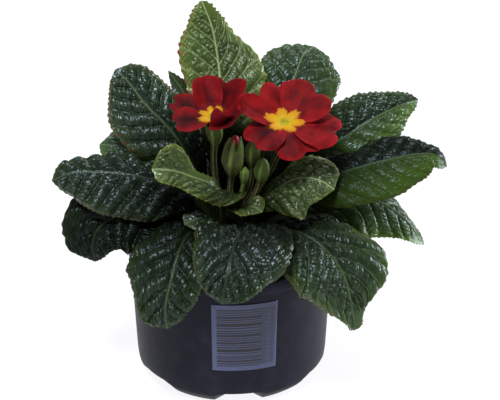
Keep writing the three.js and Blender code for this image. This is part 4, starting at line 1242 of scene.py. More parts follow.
# ---------------------------------------------------------------- leaves
@dataclass
class Leaf:
    """One leaf: its stalk, blade, net of veins and toothed margin.

    The blade is a sheet round its midrib. Places on it are a share q from base to tip and a
    place v across, from -1 at the left margin to 1 at the right. Rows rake forward towards the
    margin, as side veins do. Tables run from just past the base, where every leaf is alike:
    face is the way that the blade looks, half its half widths in mm, and fold and curl its
    halves' angles at the midrib and on to the margin, in degrees. A row of these three has a
    value for the left half and one for the right, or one for both.
    """

    name: str
    seat: tuple[float, float]
    spine: Rows
    face: Rows
    half: Rows
    bare: float
    fold: Rows = ((0.4, 4), (1, 4))
    curl: Rows = ((0.5, -24), (1, -20))
    tone: Tone = Tone.GROWN
    phase: float = 0.0
    wave: float = 1.5
    ripples: float = 3.0
    tooth: float = 0.9
    tooth_pitch: float = 3.4
    pucker: float = 1.0
    fresh: tuple[float, float] = (0.12, 0.12)
    fresh_mm: float = 4.0
    brown: tuple[float, float] = (0.2, 0.2)
    ribbed: float = 0.1
    midrib: float = 0.6
    arch: float = 1.0
    # Painted light and shade: the next three fields scale the blade's colour and glint, below 1 as
    # painted shade and above 1 as painted light, falling to a smaller factor near the crown as
    # painted shade and rising again over a range of shares along the blade.
    painted_light: float = 1.0
    base_painted_light: float = 0.15
    wax: float = 1.0
    painted_light_ramp: tuple[float, float] = (0.3, 0.85)
    spacing: float = 0.58
    stalk_spacing: float = 1.4
    rung_mm: float = 1.8
    cell_long: float = 4.2
    cell_wall: float = 0.75
    groove_deep: float = 0.6
    rib_rise: float = 0.35
    furrow_deep: float = 0.3
    furrow_mm: float = 1.8
    thinnest: float = 0.4
    rim_mm: float = 0.4
    vein_pitch: float = 11.5
    rake: tuple[float, float] = (0.7, 0.4)
    curve: Spline = field(init=False)
    draw: np.random.Generator = field(init=False)

    def __post_init__(self) -> None:
        """Seats the stalk on the crown and runs the midrib from there."""
        azimuth, height = self.seat
        radial = np.array([math.cos(azimuth * TURN), math.sin(azimuth * TURN)])
        seat = (*(radial * (CROWN_R + SEAT_GAP)), height)
        self.face = ((0, -radial[0], -radial[1], 0.1), *self.face)
        self.half = both_sides(*self.half, (1, 0))
        self.fold = both_sides((0, 0), *self.fold)
        self.curl = both_sides((0, 20), *self.curl)
        self.curve = Spline([seat, *self.spine])
        self.draw = np.random.default_rng(sum(self.name.encode()))

    def vein_roots(self, side: int) -> Array:
        """Where the side veins of a half leave the midrib.

        Args:
            side: 0 for the left half and 1 for the right.

        Returns:
            Places in mm from the base, in order.
        """
        length = self.curve.length
        place = (self.bare - 0.06 + 0.5 * side * self.vein_pitch / length) * length
        roots = []
        while place < 0.985 * length:
            roots.append(place)
            closer = 1 - 0.45 * (place / length) ** 2
            place += self.vein_pitch * closer * self.draw.uniform(0.88, 1.12)
        return np.array(roots)

    def row_places(self, roots: Array) -> Array:
        """Rows of points in mm from the base, with one on every side vein.

        Args:
            roots: where the side veins start, in order.

        Returns:
            The rows, odd in number.
        """
        length = self.curve.length
        stops = np.array([0.0, *roots, 0.996 * length])
        places = [0.0]
        for low, high in zip(stops, stops[1:]):
            step = self.spacing if high > 0.8 * self.bare * length else self.stalk_spacing
            count = 2 * max(1, math.ceil((high - low) / (2 * step)))
            places += list(np.linspace(low, high, count + 1)[1:])
        return np.array(places)

    def widest(self, side: int) -> float:
        """The greatest width of the left half (0) or the right one (1), mm."""
        return max(row[1 + side] for row in self.half)

    def column_places(self) -> Array:
        """Columns of points, closer at the midrib and the margins.

        Returns:
            Places across from -1 to 1, odd in number.
        """
        sides = []
        for side in (0, 1):
            count = 2 * max(4, math.ceil(self.widest(side) / (1.6 * self.spacing)))
            even = np.linspace(0, 1, count + 1)
            sides.append(even + 0.06 * np.sin(2 * math.pi * even) * -1)
        return np.concatenate([-sides[0][:0:-1], sides[1]])

    def teeth(self, s: Array) -> tuple[Array, Array]:
        """The margin's teeth.

        Args:
            s: places along the margin, mm from the base.

        Returns:
            How far each place stands out, mm, and how near it is to a tooth's tip.
        """
        length = self.curve.length
        number = s / self.tooth_pitch
        which = np.floor(number).astype(int)
        share = number - which
        size = self.draw.uniform(0.45, 1.35, which.max() + 2)[which]
        ramp = np.where(share < 0.62, share / 0.62, (1 - share) / 0.38)
        start = ease(s / length, self.bare - 0.03, self.bare + 0.06) * (1 - ease(s / length, 0.96, 1))
        return self.tooth * size * start * ramp**1.2, ramp**3 * start * np.minimum(size, 1)

    def cells(self, s: Array, t: Array, roots: Array, widest: float) -> tuple[Array, Array]:
        """The net between the side veins of one half.

        Args:
            s: places along the midrib, mm.
            t: distances from it, mm.
            roots: where this half's side veins start, mm.
            widest: the half's greatest width, mm.

        Returns:
            How domed each place is, from 0 over a vein to 1 in the middle of a cell, and a
            random share for each cell.
        """
        length = self.curve.length
        lean = self.rake[0] + 0.5 * self.rake[1]
        stretch = math.hypot(1, lean)
        stops = np.array([roots[0] - self.vein_pitch, *roots, length])
        rung = self.rung_mm / stretch
        climb = 0.4 * lean
        seeds = []
        for low, high in zip(stops, stops[1:]):
            count = math.ceil((widest + 3 + climb * (high - low)) / rung)
            across = (np.arange(count) + 0.4) * rung
            shift = self.draw.uniform(-1, 1, (2, count))
            split = np.where(self.draw.uniform(0, 1, count) < 0.4, 0.27, 0.08) * (high - low)
            place = (low + high) / 2 + split * np.sign(shift[0]) + 0.7 * shift[0]
            seeds.append(np.stack([place, across + 0.4 * rung * shift[1]], -1))
        seeds = np.vstack(seeds)
        start = stops[np.clip(np.searchsorted(stops, s) - 1, 0, len(stops) - 2)]
        along = (t + climb * (s - start)) * stretch
        near = np.full((2, *s.shape), 1e9)
        owner = np.zeros(s.shape, int)
        for number, (seed_s, seed_t) in enumerate(seeds):
            away = np.hypot((s - seed_s) / self.cell_long, along - seed_t * stretch)
            closer = away < near[0]
            near[1] = np.where(closer, near[0], np.minimum(near[1], away))
            owner = np.where(closer, number, owner)
            near[0] = np.where(closer, away, near[0])
        wall = np.clip((near[1] - near[0]) / 2 / self.cell_wall, 0, 1)
        return 1 - (1 - wall) ** 2, self.draw.uniform(0, 1, len(seeds))[owner]

    def place_on(self, q: Array, v: Array, outward: Array) -> dict[str, Array]:
        """The bare sheet, without relief.

        Args:
            q: shares from base to tip.
            v: places across.
            outward: what a tooth adds to the half width, mm.

        Returns:
            Its points, normals, half widths and shares along the midrib.
        """
        side = (v >= 0).astype(int)
        across = np.abs(v)
        left = 1 - q
        forward = (self.rake[0] + self.rake[1] * across) * across * by_side(self.half, q, side)
        rake = np.exp(-forward / (self.curve.length * left))
        share = 1 - left * rake
        centre, along = self.curve.at(share)
        right = unit(np.cross(along, between(self.face, share)))
        up = np.cross(right, along)
        half = by_side(self.half, share, side) + outward
        fold = by_side(self.fold, share, side) * TURN
        curl = by_side(self.curl, share, side) * TURN
        bend = np.where(np.abs(curl) < 1e-3, 1e-3, curl)
        lean = fold + bend * across
        flat = half / bend * (np.sin(lean) - np.sin(fold))
        rise = half / bend * (np.cos(fold) - np.cos(lean))
        sign = np.where(side == 1, 1, -1)
        normal = up * np.cos(lean)[..., None] - right * (np.sin(lean) * sign)[..., None]
        swing = np.sin(share * self.ripples * 2 * math.pi + self.phase + side * 2.1)
        swell = np.minimum(1, half / 8)
        points = centre + right * (flat * sign)[..., None] + up * rise[..., None]
        points = points + normal * (swell * self.wave * across**2 * swing)[..., None]
        return {"points": points, "normal": normal, "half": half, "share": share}

    def net(self, s: Array, v: Array, half: Array, roots: list[Array]) -> dict[str, Array]:
        """The net of veins over both halves.

        Args:
            s: places along the midrib, mm.
            v: places across.
            half: half widths, mm.
            roots: where the side veins of each half start, mm.

        Returns:
            How domed each place is ("dome"), its cell's random share ("tone"), how near it is to
            a side vein ("line") and how far it arches between two of them ("arch").
        """
        t = np.abs(v) * half
        found = {name: np.zeros_like(s) for name in ("dome", "tone", "line", "arch")}
        for side in (0, 1):
            on = (v >= 0) if side else (v < 0)
            found["dome"][on], found["tone"][on] = self.cells(
                s[on], t[on], roots[side], self.widest(side)
            )
            fork = np.maximum(0, t - 0.62 * half)[on] * 0.3
            gap = np.full(on.sum(), 1e9)
            end = self.curve.length + 2
            stops = np.array([roots[side][0] - self.vein_pitch, *roots[side], end])
            for root in roots[side]:
                gap = np.minimum(gap, np.abs(np.abs(s[on] - root) - fork))
            found["line"][on] = np.exp(-((gap / 0.5) ** 2)) * (1 - 0.45 * t[on] / half[on])
            strip = np.clip(np.searchsorted(stops, s[on]) - 1, 0, len(stops) - 2)
            part = (s[on] - stops[strip]) / (stops[strip + 1] - stops[strip])
            found["arch"][on] = 1 - (2 * np.clip(part, 0, 1) - 1) ** 2
        found["line"] = found["line"] * ease(half, 4, 8)
        return found

    def relief(self, at: dict[str, Array], net: dict[str, Array]) -> tuple[Array, Array]:
        """How far the two faces stand off the bare sheet.

        Args:
            at: places across and what follows from them, as build works them out.
            net: the net of veins.

        Returns:
            Heights of the top and of the under side, mm.
        """
        half, t, body, rib = at["half"], at["t"], at["body"], at["rib"]
        line, arch, dome = net["line"], net["arch"], self.pucker * net["dome"]
        domes = dome * (0.6 + 0.8 * net["tone"])
        top = body * (domes + self.arch * arch - self.groove_deep * line)
        top += 0.7 * (arch - 0.5) * ease(np.abs(at["v"]), 0.6, 1) * ease(half, 4, 9)
        furrow = self.furrow_deep * np.exp(-((t - self.furrow_mm) ** 2))
        top += self.rib_rise * rib * ease(half, 4, 10) - furrow * ease(half, 6, 12)
        stem = np.maximum(0, 1 - half / 6) * 0.9 * (1 - at["share"])
        deep = BLADE_THICK + 0.3 * line * body + rib * RIB_DEEP * (1 - 0.8 * at["share"]) + stem
        deep = deep - body * 0.1
        under = top - np.maximum(deep, self.thinnest) - body * (dome * 0.5 - 0.5 * line)
        return top, under

    def point_values(self, at: dict[str, Array], net: dict[str, Array]) -> dict[str, Array]:
        """What the cuticle reads at each point.

        Args:
            at: places across and what follows from them, as build works them out.
            net: the net of veins.

        Returns:
            Numbers for the points, by attribute name.
        """
        left, half, edge = at["v"] < 0, at["half"], at["edge"]
        rim = np.exp(-edge / self.rim_mm)
        fresh = np.where(left, *self.fresh) * (0.35 + np.exp(-edge / self.fresh_mm) * 1.6)
        fresh = fresh + 0.45 * rim * ease(half, 4, 8)
        midrib = at["rib"] * self.midrib * (0.35 + 0.65 * ease(at["share"], 0.3, 0.7))
        # Painted light and shade over the whole blade, and painted shade towards the crown; the
        # glint's strength follows the same factor.
        outer = ease(at["share"], *self.painted_light_ramp)
        painted_light = self.painted_light * (self.base_painted_light + (1 - self.base_painted_light) * outer)
        burnt = np.where(left, *self.brown)
        body = at["body"]
        return {
            # The pucker share sets where the painted shade of the grooves lies.
            "pucker": net["dome"] ** 2 * body + (1 - body) * 0.5 + 0.25 * (net["tone"] - 0.5),
            "vein": np.maximum(net["line"] * self.ribbed, midrib),
            "painted_light": painted_light,
            "wax": self.wax * painted_light,
            "tooth": np.clip((at["tip"] + 0.5 * rim) * at["margin"] * burnt * 2, 0, 1),
            "fresh": np.clip(fresh, 0, 1),
            "under": np.zeros_like(half),
        }

    def build(self, cuticle: Material) -> None:
        """Makes the blade with its relief, and dresses it.

        Args:
            cuticle: the finish for a blade of its age.
        """
        length = self.curve.length
        roots = [self.vein_roots(side) for side in (0, 1)]
        rows = self.row_places(np.sort(np.concatenate(roots)))
        s, v = np.meshgrid(rows, self.column_places(), indexing="ij")
        margin = ease(np.abs(v), 0.8, 1.0)
        stand_out, tip = self.teeth(s)
        slack = np.minimum(1, (length - s) / 8)
        bow = 0.5 * np.sin(np.abs(v) * 3.3 + s * 0.19 + self.phase) * np.abs(v) * slack
        sheet = self.place_on((s + bow) / length, v, stand_out * margin**2 * slack)
        half, share = sheet["half"], sheet["share"]
        t, edge = np.abs(v) * half, (1 - np.abs(v)) * half
        at = {
            "v": v, "half": half, "share": share, "t": t, "edge": edge, "margin": margin, "tip": tip,
            "body": ease(half, 4.5, 10) * ease(edge, 0.1, 1.6) * ease(t, 0.5, 2.2),
            "rib": np.exp(-((t / (0.28 + 0.32 * (1 - share))) ** 2)),
        }
        net = self.net(s, v, half, roots)
        high, low = self.relief(at, net)
        top = sheet["points"] + sheet["normal"] * high[..., None]
        under = (sheet["points"] + sheet["normal"] * low[..., None])[::2, ::2]
        shell = Shell()
        flat = np.stack([v * half, s], -1)
        shell.add_sheet(top, under, self.point_values(at, net), {"under": 1.0}, flat)
        shell.piece(self.name + "_blade", cuticle, self.tone.value, self.name)


LEAVES = (
    Leaf(
        name="leaf_tall_back", seat=(86, 73), bare=0.2, rake=(1.2, 0.3), tone=Tone.YOUNG, tooth=1.5,
        tooth_pitch=4.6, ribbed=0.6, midrib=1.0, pucker=1.1, base_painted_light=0.08, arch=0.6, painted_light=0.95,
        painted_light_ramp=(0.38, 0.58),
        spine=((-1, 13, 96), (-4, 20, 120), (-5, 28, 141), (-7, 39, 157), (-10, 48, 171),
               (-15.5, 54, 183.6)),
        face=((0.5, 0.05, -1, 0.4), (1, 0.1, -1, 0.3)),
        half=((0, 1.9), (0.12, 3), (0.24, 6, 9), (0.36, 10, 14), (0.5, 13, 17), (0.64, 18, 23),
              (0.74, 20), (0.84, 18, 10), (0.93, 11, 5), (0.975, 6, 3)),
        fold=((0.5, 14, 16), (1, 10)), curl=((0.6, -10, -22), (1, -10)), brown=(0.9, 0.15),
        fresh=(0.35, 0.2), fresh_mm=3,
    ),
    Leaf(
        name="leaf_round_back", seat=(58, 74), bare=0.2, painted_light=1.35, arch=0.5, pucker=0.6,
        ribbed=0.25, midrib=0.9,
        spine=((10, 13, 94), (18, 20, 114), (26, 28, 132), (33, 38, 147), (38, 50, 155),
               (44, 62, 155)),
        face=((0.5, -0.1, -0.9, 0.5), (0.8, 0.1, -0.5, 1), (1, 0.2, -0.3, 1)),
        half=((0, 1.9), (0.12, 3.4), (0.24, 8), (0.36, 11, 13), (0.5, 14, 15), (0.65, 19, 22),
              (0.8, 19, 24), (0.92, 13, 17), (0.98, 6, 8)),
        fold=((0.5, 12), (1, 0)), curl=((0.6, -20, -30), (1, -20)), wax=0.5, fresh=(0.15, 0.15),
        fresh_mm=9,
    ),
    Leaf(
        name="leaf_left_upper", seat=(139, 74), bare=0.38, arch=1.3, painted_light=1.35, phase=1,
        brown=(0.5, 0.42),
        spine=((-12, 10, 93), (-21, 13, 112), (-33, 19, 127), (-44, 24, 137), (-53, 30, 147),
               (-60, 34, 153)),
        face=((0.5, 0.2, -0.9, 0.5), (1, 0.1, -0.7, 0.7)),
        half=((0, 1.9), (0.28, 3.6), (0.42, 11), (0.58, 23, 15), (0.75, 22, 16), (0.88, 15, 13),
              (0.96, 8)),
        fold=((0.4, 10), (1, 4)), curl=((0.5, -20, -14), (1, -20, -14)), wax=0.75,
    ),
    Leaf(
        name="leaf_spike_back", seat=(112, 74), bare=0.5, brown=(0.9, 0.5),
        spine=((-8, 18, 98), (-16, 30, 121), (-24, 39, 136), (-33, 45, 148)),
        face=((1, 0.4, -0.9, 0.3),),
        half=((0, 1.9), (0.4, 3.4), (0.65, 8), (0.85, 5), (0.95, 2)),
        fold=((0.5, 12), (1, 10)), curl=((0.6, -10), (1, -10)),
    ),
    Leaf(
        name="leaf_left_mid", seat=(166, 73), bare=0.4, phase=2, painted_light=1.5, brown=(0.4, 0.4),
        fresh=(0.25, 0.25),
        spine=((-14, 5, 86), (-24, 9, 98), (-38, 15, 108), (-54, 21, 114), (-69, 26, 114)),
        face=((0.35, 0.5, -0.3, 0.9), (1, -0.2, -0.4, 1)),
        half=((0, 1.9), (0.28, 3.6), (0.45, 10, 12), (0.65, 15, 19), (0.85, 12, 14), (0.95, 7, 8)),
        fold=((0.4, 4, 10), (1, 4, 10)), curl=((0.5, -20, -10), (1, -24, -10)),
    ),
    Leaf(
        name="leaf_left_wide", seat=(193, 74), bare=0.28, arch=1.5, rake=(0.45, 0.2),
        brown=(0.3, 0.3), painted_light=0.92,
        spine=((-13, -4, 87), (-21, -6, 98), (-33, -7, 106), (-48, -7, 111), (-66, -7, 113),
               (-80, -8, 113), (-91, -9, 109)),
        face=((0.3, 0.6, -0.2, 0.8), (1, -0.2, -0.4, 1)),
        half=((0, 1.9), (0.18, 3.6), (0.34, 18, 9), (0.5, 25, 14), (0.7, 24, 15), (0.85, 18, 12),
              (0.95, 10, 7)),
        fold=((0.4, -4, 0), (1, -4, 2)), curl=((0.5, -38, -14), (1, -34, -14)),
    ),
    Leaf(
        name="leaf_left_drop", seat=(207, 68), bare=0.3, painted_light=0.38, wax=0.8, phase=1,
        spine=((-14, -8, 79), (-26, -12, 89), (-42, -16, 94), (-57, -19, 94), (-67, -22, 88),
               (-70, -24, 80), (-69, -25, 71)),
        face=((0.35, 0.3, -0.3, 1), (0.7, -0.5, -0.8, 0.5), (1, -0.4, -1, 0)),
        half=((0, 2), (0.2, 4), (0.4, 11, 14), (0.6, 20), (0.78, 20, 21), (0.92, 12, 14),
              (0.97, 6)),
        fold=((0.4, 4), (0.7, 0, 14), (1, 4)), curl=((0.5, -20, -10), (1, -10, -20)),
    ),
    Leaf(
        name="leaf_front_left", seat=(238, 68), bare=0.24, painted_light=1.05, base_painted_light=0.05, wax=0.6,
        pucker=0.8, arch=1.6,
        spine=((-9, -14, 79), (-15, -23, 88), (-20, -33, 92), (-25, -45, 88), (-29, -57, 77),
               (-32, -63, 64), (-31, -63, 53)),
        face=((0.3, 0.1, 0.1, 1), (0.6, -0.2, -0.6, 0.8), (1, -0.1, -1, 0.1)),
        half=((0, 2), (0.16, 4), (0.3, 8, 10), (0.5, 13, 23), (0.7, 15, 25), (0.87, 13, 16),
              (0.96, 8, 9)),
        fold=((0.4, -10, 4), (0.8, -4, 4), (1, 4)), curl=((0.5, -30), (1, -16, -20)),
        fresh=(0.1, 0.12),
    ),
    Leaf(
        name="leaf_front", seat=(275, 67), bare=0.26, phase=2, painted_light=0.95, base_painted_light=0.05, midrib=0.2,
        wax=0.85, arch=1.2,
        spine=((2, -16, 78), (4, -25, 89), (5, -38, 96), (2, -53, 93), (-1, -64, 86), (-3, -70, 76),
               (-4, -71, 71)),
        face=((0.3, 0, 0.1, 1), (0.6, 0, -0.6, 0.8), (1, 0, -1, 0.2)),
        half=((0, 2), (0.18, 4), (0.32, 17, 13), (0.5, 28, 21), (0.7, 27, 20), (0.87, 19, 14),
              (0.96, 10, 8)),
        fold=((0.4, 4, 6), (1, 4)), curl=((0.5, -26, -22), (1, -20)), fresh=(0.12, 0.1),
        rake=(0.8, 0.9),
    ),
    Leaf(
        name="leaf_front_right", seat=(313, 68), bare=0.26,
        spine=((13, -13, 79), (23, -21, 87), (35, -30, 90), (47, -38, 85), (56, -43, 74),
               (60, -46, 61), (63, -46, 43)),
        face=((0.3, -0.1, 0.1, 1), (0.6, 0.3, -0.5, 0.8), (1, 0.3, -1, 0.1)),
        half=((0, 2), (0.16, 4), (0.3, 18, 16), (0.5, 26), (0.68, 26, 27), (0.8, 19), (0.88, 8, 11),
              (0.94, 4, 6), (0.98, 3, 3.5)),
        fold=((0.4, 0), (0.8, 10), (1, 30)), curl=((0.5, -22, -30), (1, 10)), fresh=(0.22, 0.22),
        brown=(0.3, 0.3), rake=(0.8, 0.6), ribbed=0.5, arch=1.6, painted_light=1.4, wax=0.6, pucker=0.8,
    ),
    Leaf(
        name="leaf_right_low", seat=(346, 68), bare=0.35, painted_light=2.2, pucker=0.45, arch=0.25, phase=1,
        ribbed=0.3, wax=0.2,
        spine=((16, -2, 79), (28, -1, 88), (42, 2, 93), (58, 4, 95), (74, 5, 92), (89, 5, 82),
               (101, 3, 67)),
        face=((0.35, -0.3, 0, 1), (1, 0.6, -0.3, 0.8)),
        half=((0, 2), (0.2, 4), (0.32, 9, 12), (0.45, 14, 20), (0.65, 15, 22), (0.85, 9, 13),
              (0.95, 4, 6)),
        fold=((0.4, 2, -26), (0.8, 2, -20), (1, 2)), curl=((0.5, -20), (1, -16)), fresh=(0.2, 0.3),
    ),
    Leaf(
        name="leaf_right_wide", seat=(0, 75), bare=0.3, fresh=(0.0, 0.6), fresh_mm=9, pucker=0.4,
        arch=0.4, painted_light=0.75,
        spine=((15, -3, 89), (26, -6, 101), (41, -8, 109), (58, -8, 114), (76, -7, 119),
               (92, -6, 122), (104, -4, 121), (110, -5, 115)),
        face=((0.3, -0.5, -0.2, 0.9), (0.9, 0.1, -0.4, 1), (1, 0.8, -0.3, 0.6)),
        half=((0, 1.9), (0.2, 3.6), (0.36, 9, 12), (0.52, 13, 20), (0.7, 14, 21), (0.84, 12, 15),
              (0.93, 8), (0.98, 5)),
        fold=((0.4, 10, -6), (0.8, 10, -6), (1, 0)), curl=((0.5, -10, -34), (1, -16, -30)), wax=0.3,
    ),
    Leaf(
        name="leaf_right_upper", seat=(29, 75), bare=0.38, painted_light=1.2, phase=1, fresh=(0.1, 0.5),
        fresh_mm=7,
        spine=((15, 8, 90), (26, 11, 103), (41, 11, 114), (57, 12, 123), (72, 16, 132),
               (86, 24, 136), (97, 27, 139)),
        face=((0.4, -0.3, -0.8, 0.6), (1, 0, -0.8, 0.7)),
        half=((0, 1.9), (0.2, 3.6), (0.3, 8.5, 5), (0.42, 12, 9), (0.6, 17), (0.78, 15, 16),
              (0.92, 8), (0.97, 4)),
        fold=((0.4, 8), (1, 8)), curl=((0.5, -12), (1, -10)), wax=0.75,
    ),
    Leaf(
        name="leaf_lip", seat=(254, 77.5), bare=0.34, phase=2, tone=Tone.YOUNG,
        spine=((-1.8, -10.6, 87), (-1, -13.5, 97), (-3, -19, 107), (-9, -24, 114), (-18, -27, 119),
               (-28, -28, 123), (-39, -28, 124)),
        face=((0.3, 0.1, 1, 0.4), (0.5, 0.1, -0.2, 1), (1, -0.2, -0.5, 1)),
        half=((0, 2), (0.2, 5), (0.34, 10, 4), (0.5, 11, 3), (0.68, 9, 3.5), (0.78, 8),
              (0.87, 7.5, 13), (0.95, 6, 9)),
        fold=((0.3, 10), (0.55, -10, 20), (1, -4, 40)),
        curl=((0.3, 30), (0.55, -50, 10), (1, -40, 10)), fresh=(0.16, 0.16), fresh_mm=2.5,
        tooth_pitch=2.4, tooth=0.6, vein_pitch=6, pucker=1.4, arch=0.6,
    ),
    Leaf(
        name="leaf_inner_right", seat=(328, 76), bare=0.35, tone=Tone.YOUNG,
        spine=((11, -8, 88), (17, -12, 100), (25, -16, 109), (34, -19, 115), (44, -21, 115),
               (52, -24, 111)),
        face=((0.35, -0.4, 0.1, 0.9), (1, 0.4, -0.4, 0.9)),
        half=((0, 1.9), (0.2, 4, 3.5), (0.4, 6, 9), (0.56, 9, 17), (0.72, 11, 22), (0.86, 13, 20),
              (0.95, 10)),
        fold=((0.4, 14, -20), (1, 14, -22)), curl=((0.5, 20, -36), (1, 10, -30)), fresh=(0.1, 0.12),
        fresh_mm=2, tooth_pitch=2.4, tooth=0.6, vein_pitch=6.5, pucker=1.3, painted_light=1.2, arch=0.5,
    ),
    Leaf(
        name="leaf_small_centre", seat=(289, 74.5), bare=0.4, tone=Tone.YOUNG,
        spine=((3, -14, 86), (6, -18, 95), (11, -23, 101), (16, -27, 100)),
        face=((0.5, 0, 0.2, 1), (1, 0.1, -0.5, 0.9)),
        half=((0, 2), (0.3, 4), (0.6, 9), (0.85, 8), (0.95, 4)),
        fold=((0.4, 14), (1, 4)), curl=((0.6, 10), (1, -20)), fresh=(0.12, 0.12), fresh_mm=2,
        tooth_pitch=2.0, tooth=0.5, vein_pitch=4.5, painted_light=0.7,
    ),
    Leaf(
        name="leaf_front_under", seat=(258, 72.4), bare=0.4, tooth_pitch=2.4, vein_pitch=5,
        spine=((-4.8, -14.8, 83), (-10, -20, 92), (-16, -26, 96), (-23, -31, 95)),
        face=((0.5, 0, 0, 1), (1, -0.3, -0.4, 1)),
        half=((0, 1.9), (0.3, 4), (0.6, 9, 8), (0.85, 9, 8), (0.95, 5, 4)),
        fold=((0.5, 4), (1, 4)), curl=((0.6, -14), (1, -14)),
    ),
    Leaf(
        name="leaf_back_low", seat=(98, 67.5), bare=0.3, spacing=0.75,
        spine=((-1, 18, 79), (0, 32, 88), (1, 48, 90), (1, 62, 84), (1, 71, 72), (1, 74, 59)),
        face=((0.35, 0, -0.2, 1), (0.7, 0, 0.6, 0.8), (1, 0, 1, 0.1)),
        half=((0, 2), (0.2, 4), (0.4, 17), (0.6, 23), (0.8, 19), (0.94, 10)),
    ),
    Leaf(
        name="leaf_back_right", seat=(43, 68), bare=0.3, phase=2, spacing=0.75,
        spine=((15, 14, 82), (28, 25, 92), (43, 37, 95), (57, 47, 89), (65, 54, 77), (68, 57, 64)),
        face=((0.35, -0.1, -0.1, 1), (0.7, 0.4, 0.4, 0.8), (1, 0.7, 0.7, 0.1)),
        half=((0, 2), (0.2, 4), (0.4, 15), (0.6, 20), (0.8, 17), (0.94, 9)),
    ),
    Leaf(
        name="leaf_back_left", seat=(149, 67.5), bare=0.3, phase=1, spacing=0.75,
        spine=((-17, 12, 79), (-30, 23, 90), (-45, 33, 93), (-58, 43, 87), (-67, 50, 76),
               (-70, 53, 63)),
        face=((0.35, 0.1, -0.1, 1), (0.7, -0.4, 0.4, 0.8), (1, -0.7, 0.7, 0.1)),
        half=((0, 2), (0.2, 4), (0.4, 15), (0.6, 20), (0.8, 17), (0.94, 9)),
    ),
    Leaf(
        name="leaf_back_fill_left", seat=(124, 70.5), bare=0.3, phase=2, spacing=0.75,
        spine=((-9, 18, 79), (-17, 32, 82), (-24, 45, 82), (-30, 57, 74), (-33, 62, 64)),
        face=((0.35, 0.1, -0.1, 1), (0.7, -0.3, 0.5, 0.8), (1, -0.4, 0.9, 0.1)),
        half=((0, 1.9), (0.22, 4), (0.42, 13), (0.6, 18), (0.8, 15), (0.94, 8)),
    ),
    Leaf(
        name="leaf_back_fill_right", seat=(71, 70.5), bare=0.3, spacing=0.75,
        spine=((8, 18, 80), (16, 33, 84), (22, 47, 81), (27, 58, 73), (29, 63, 63)),
        face=((0.35, -0.1, -0.1, 1), (0.7, 0.3, 0.5, 0.8), (1, 0.4, 0.9, 0.1)),
        half=((0, 1.9), (0.22, 4), (0.42, 13), (0.6, 18), (0.8, 15), (0.94, 8)),
    ),
    Leaf(
        name="leaf_back_side_left", seat=(177, 68), bare=0.3, phase=1, spacing=0.75,
        spine=((-17, 3, 77), (-31, 8, 82), (-47, 13, 84), (-62, 18, 80), (-71, 22, 71),
               (-74, 24, 60)),
        face=((0.35, 0.2, 0, 1), (0.7, -0.5, 0.2, 0.8), (1, -1, 0.3, 0.2)),
        half=((0, 2), (0.22, 4), (0.42, 14), (0.6, 19), (0.8, 16), (0.94, 9)),
    ),
    Leaf(
        name="leaf_back_side_right", seat=(15, 68), bare=0.3, phase=2, spacing=0.75,
        spine=((17, 5, 77), (30, 10, 81), (45, 16, 82), (59, 22, 78), (68, 27, 69), (71, 29, 58)),
        face=((0.35, -0.2, 0, 1), (0.7, 0.5, 0.2, 0.8), (1, 1, 0.3, 0.2)),
        half=((0, 2), (0.22, 4), (0.42, 12), (0.6, 16), (0.8, 14), (0.94, 8)),
    ),
)


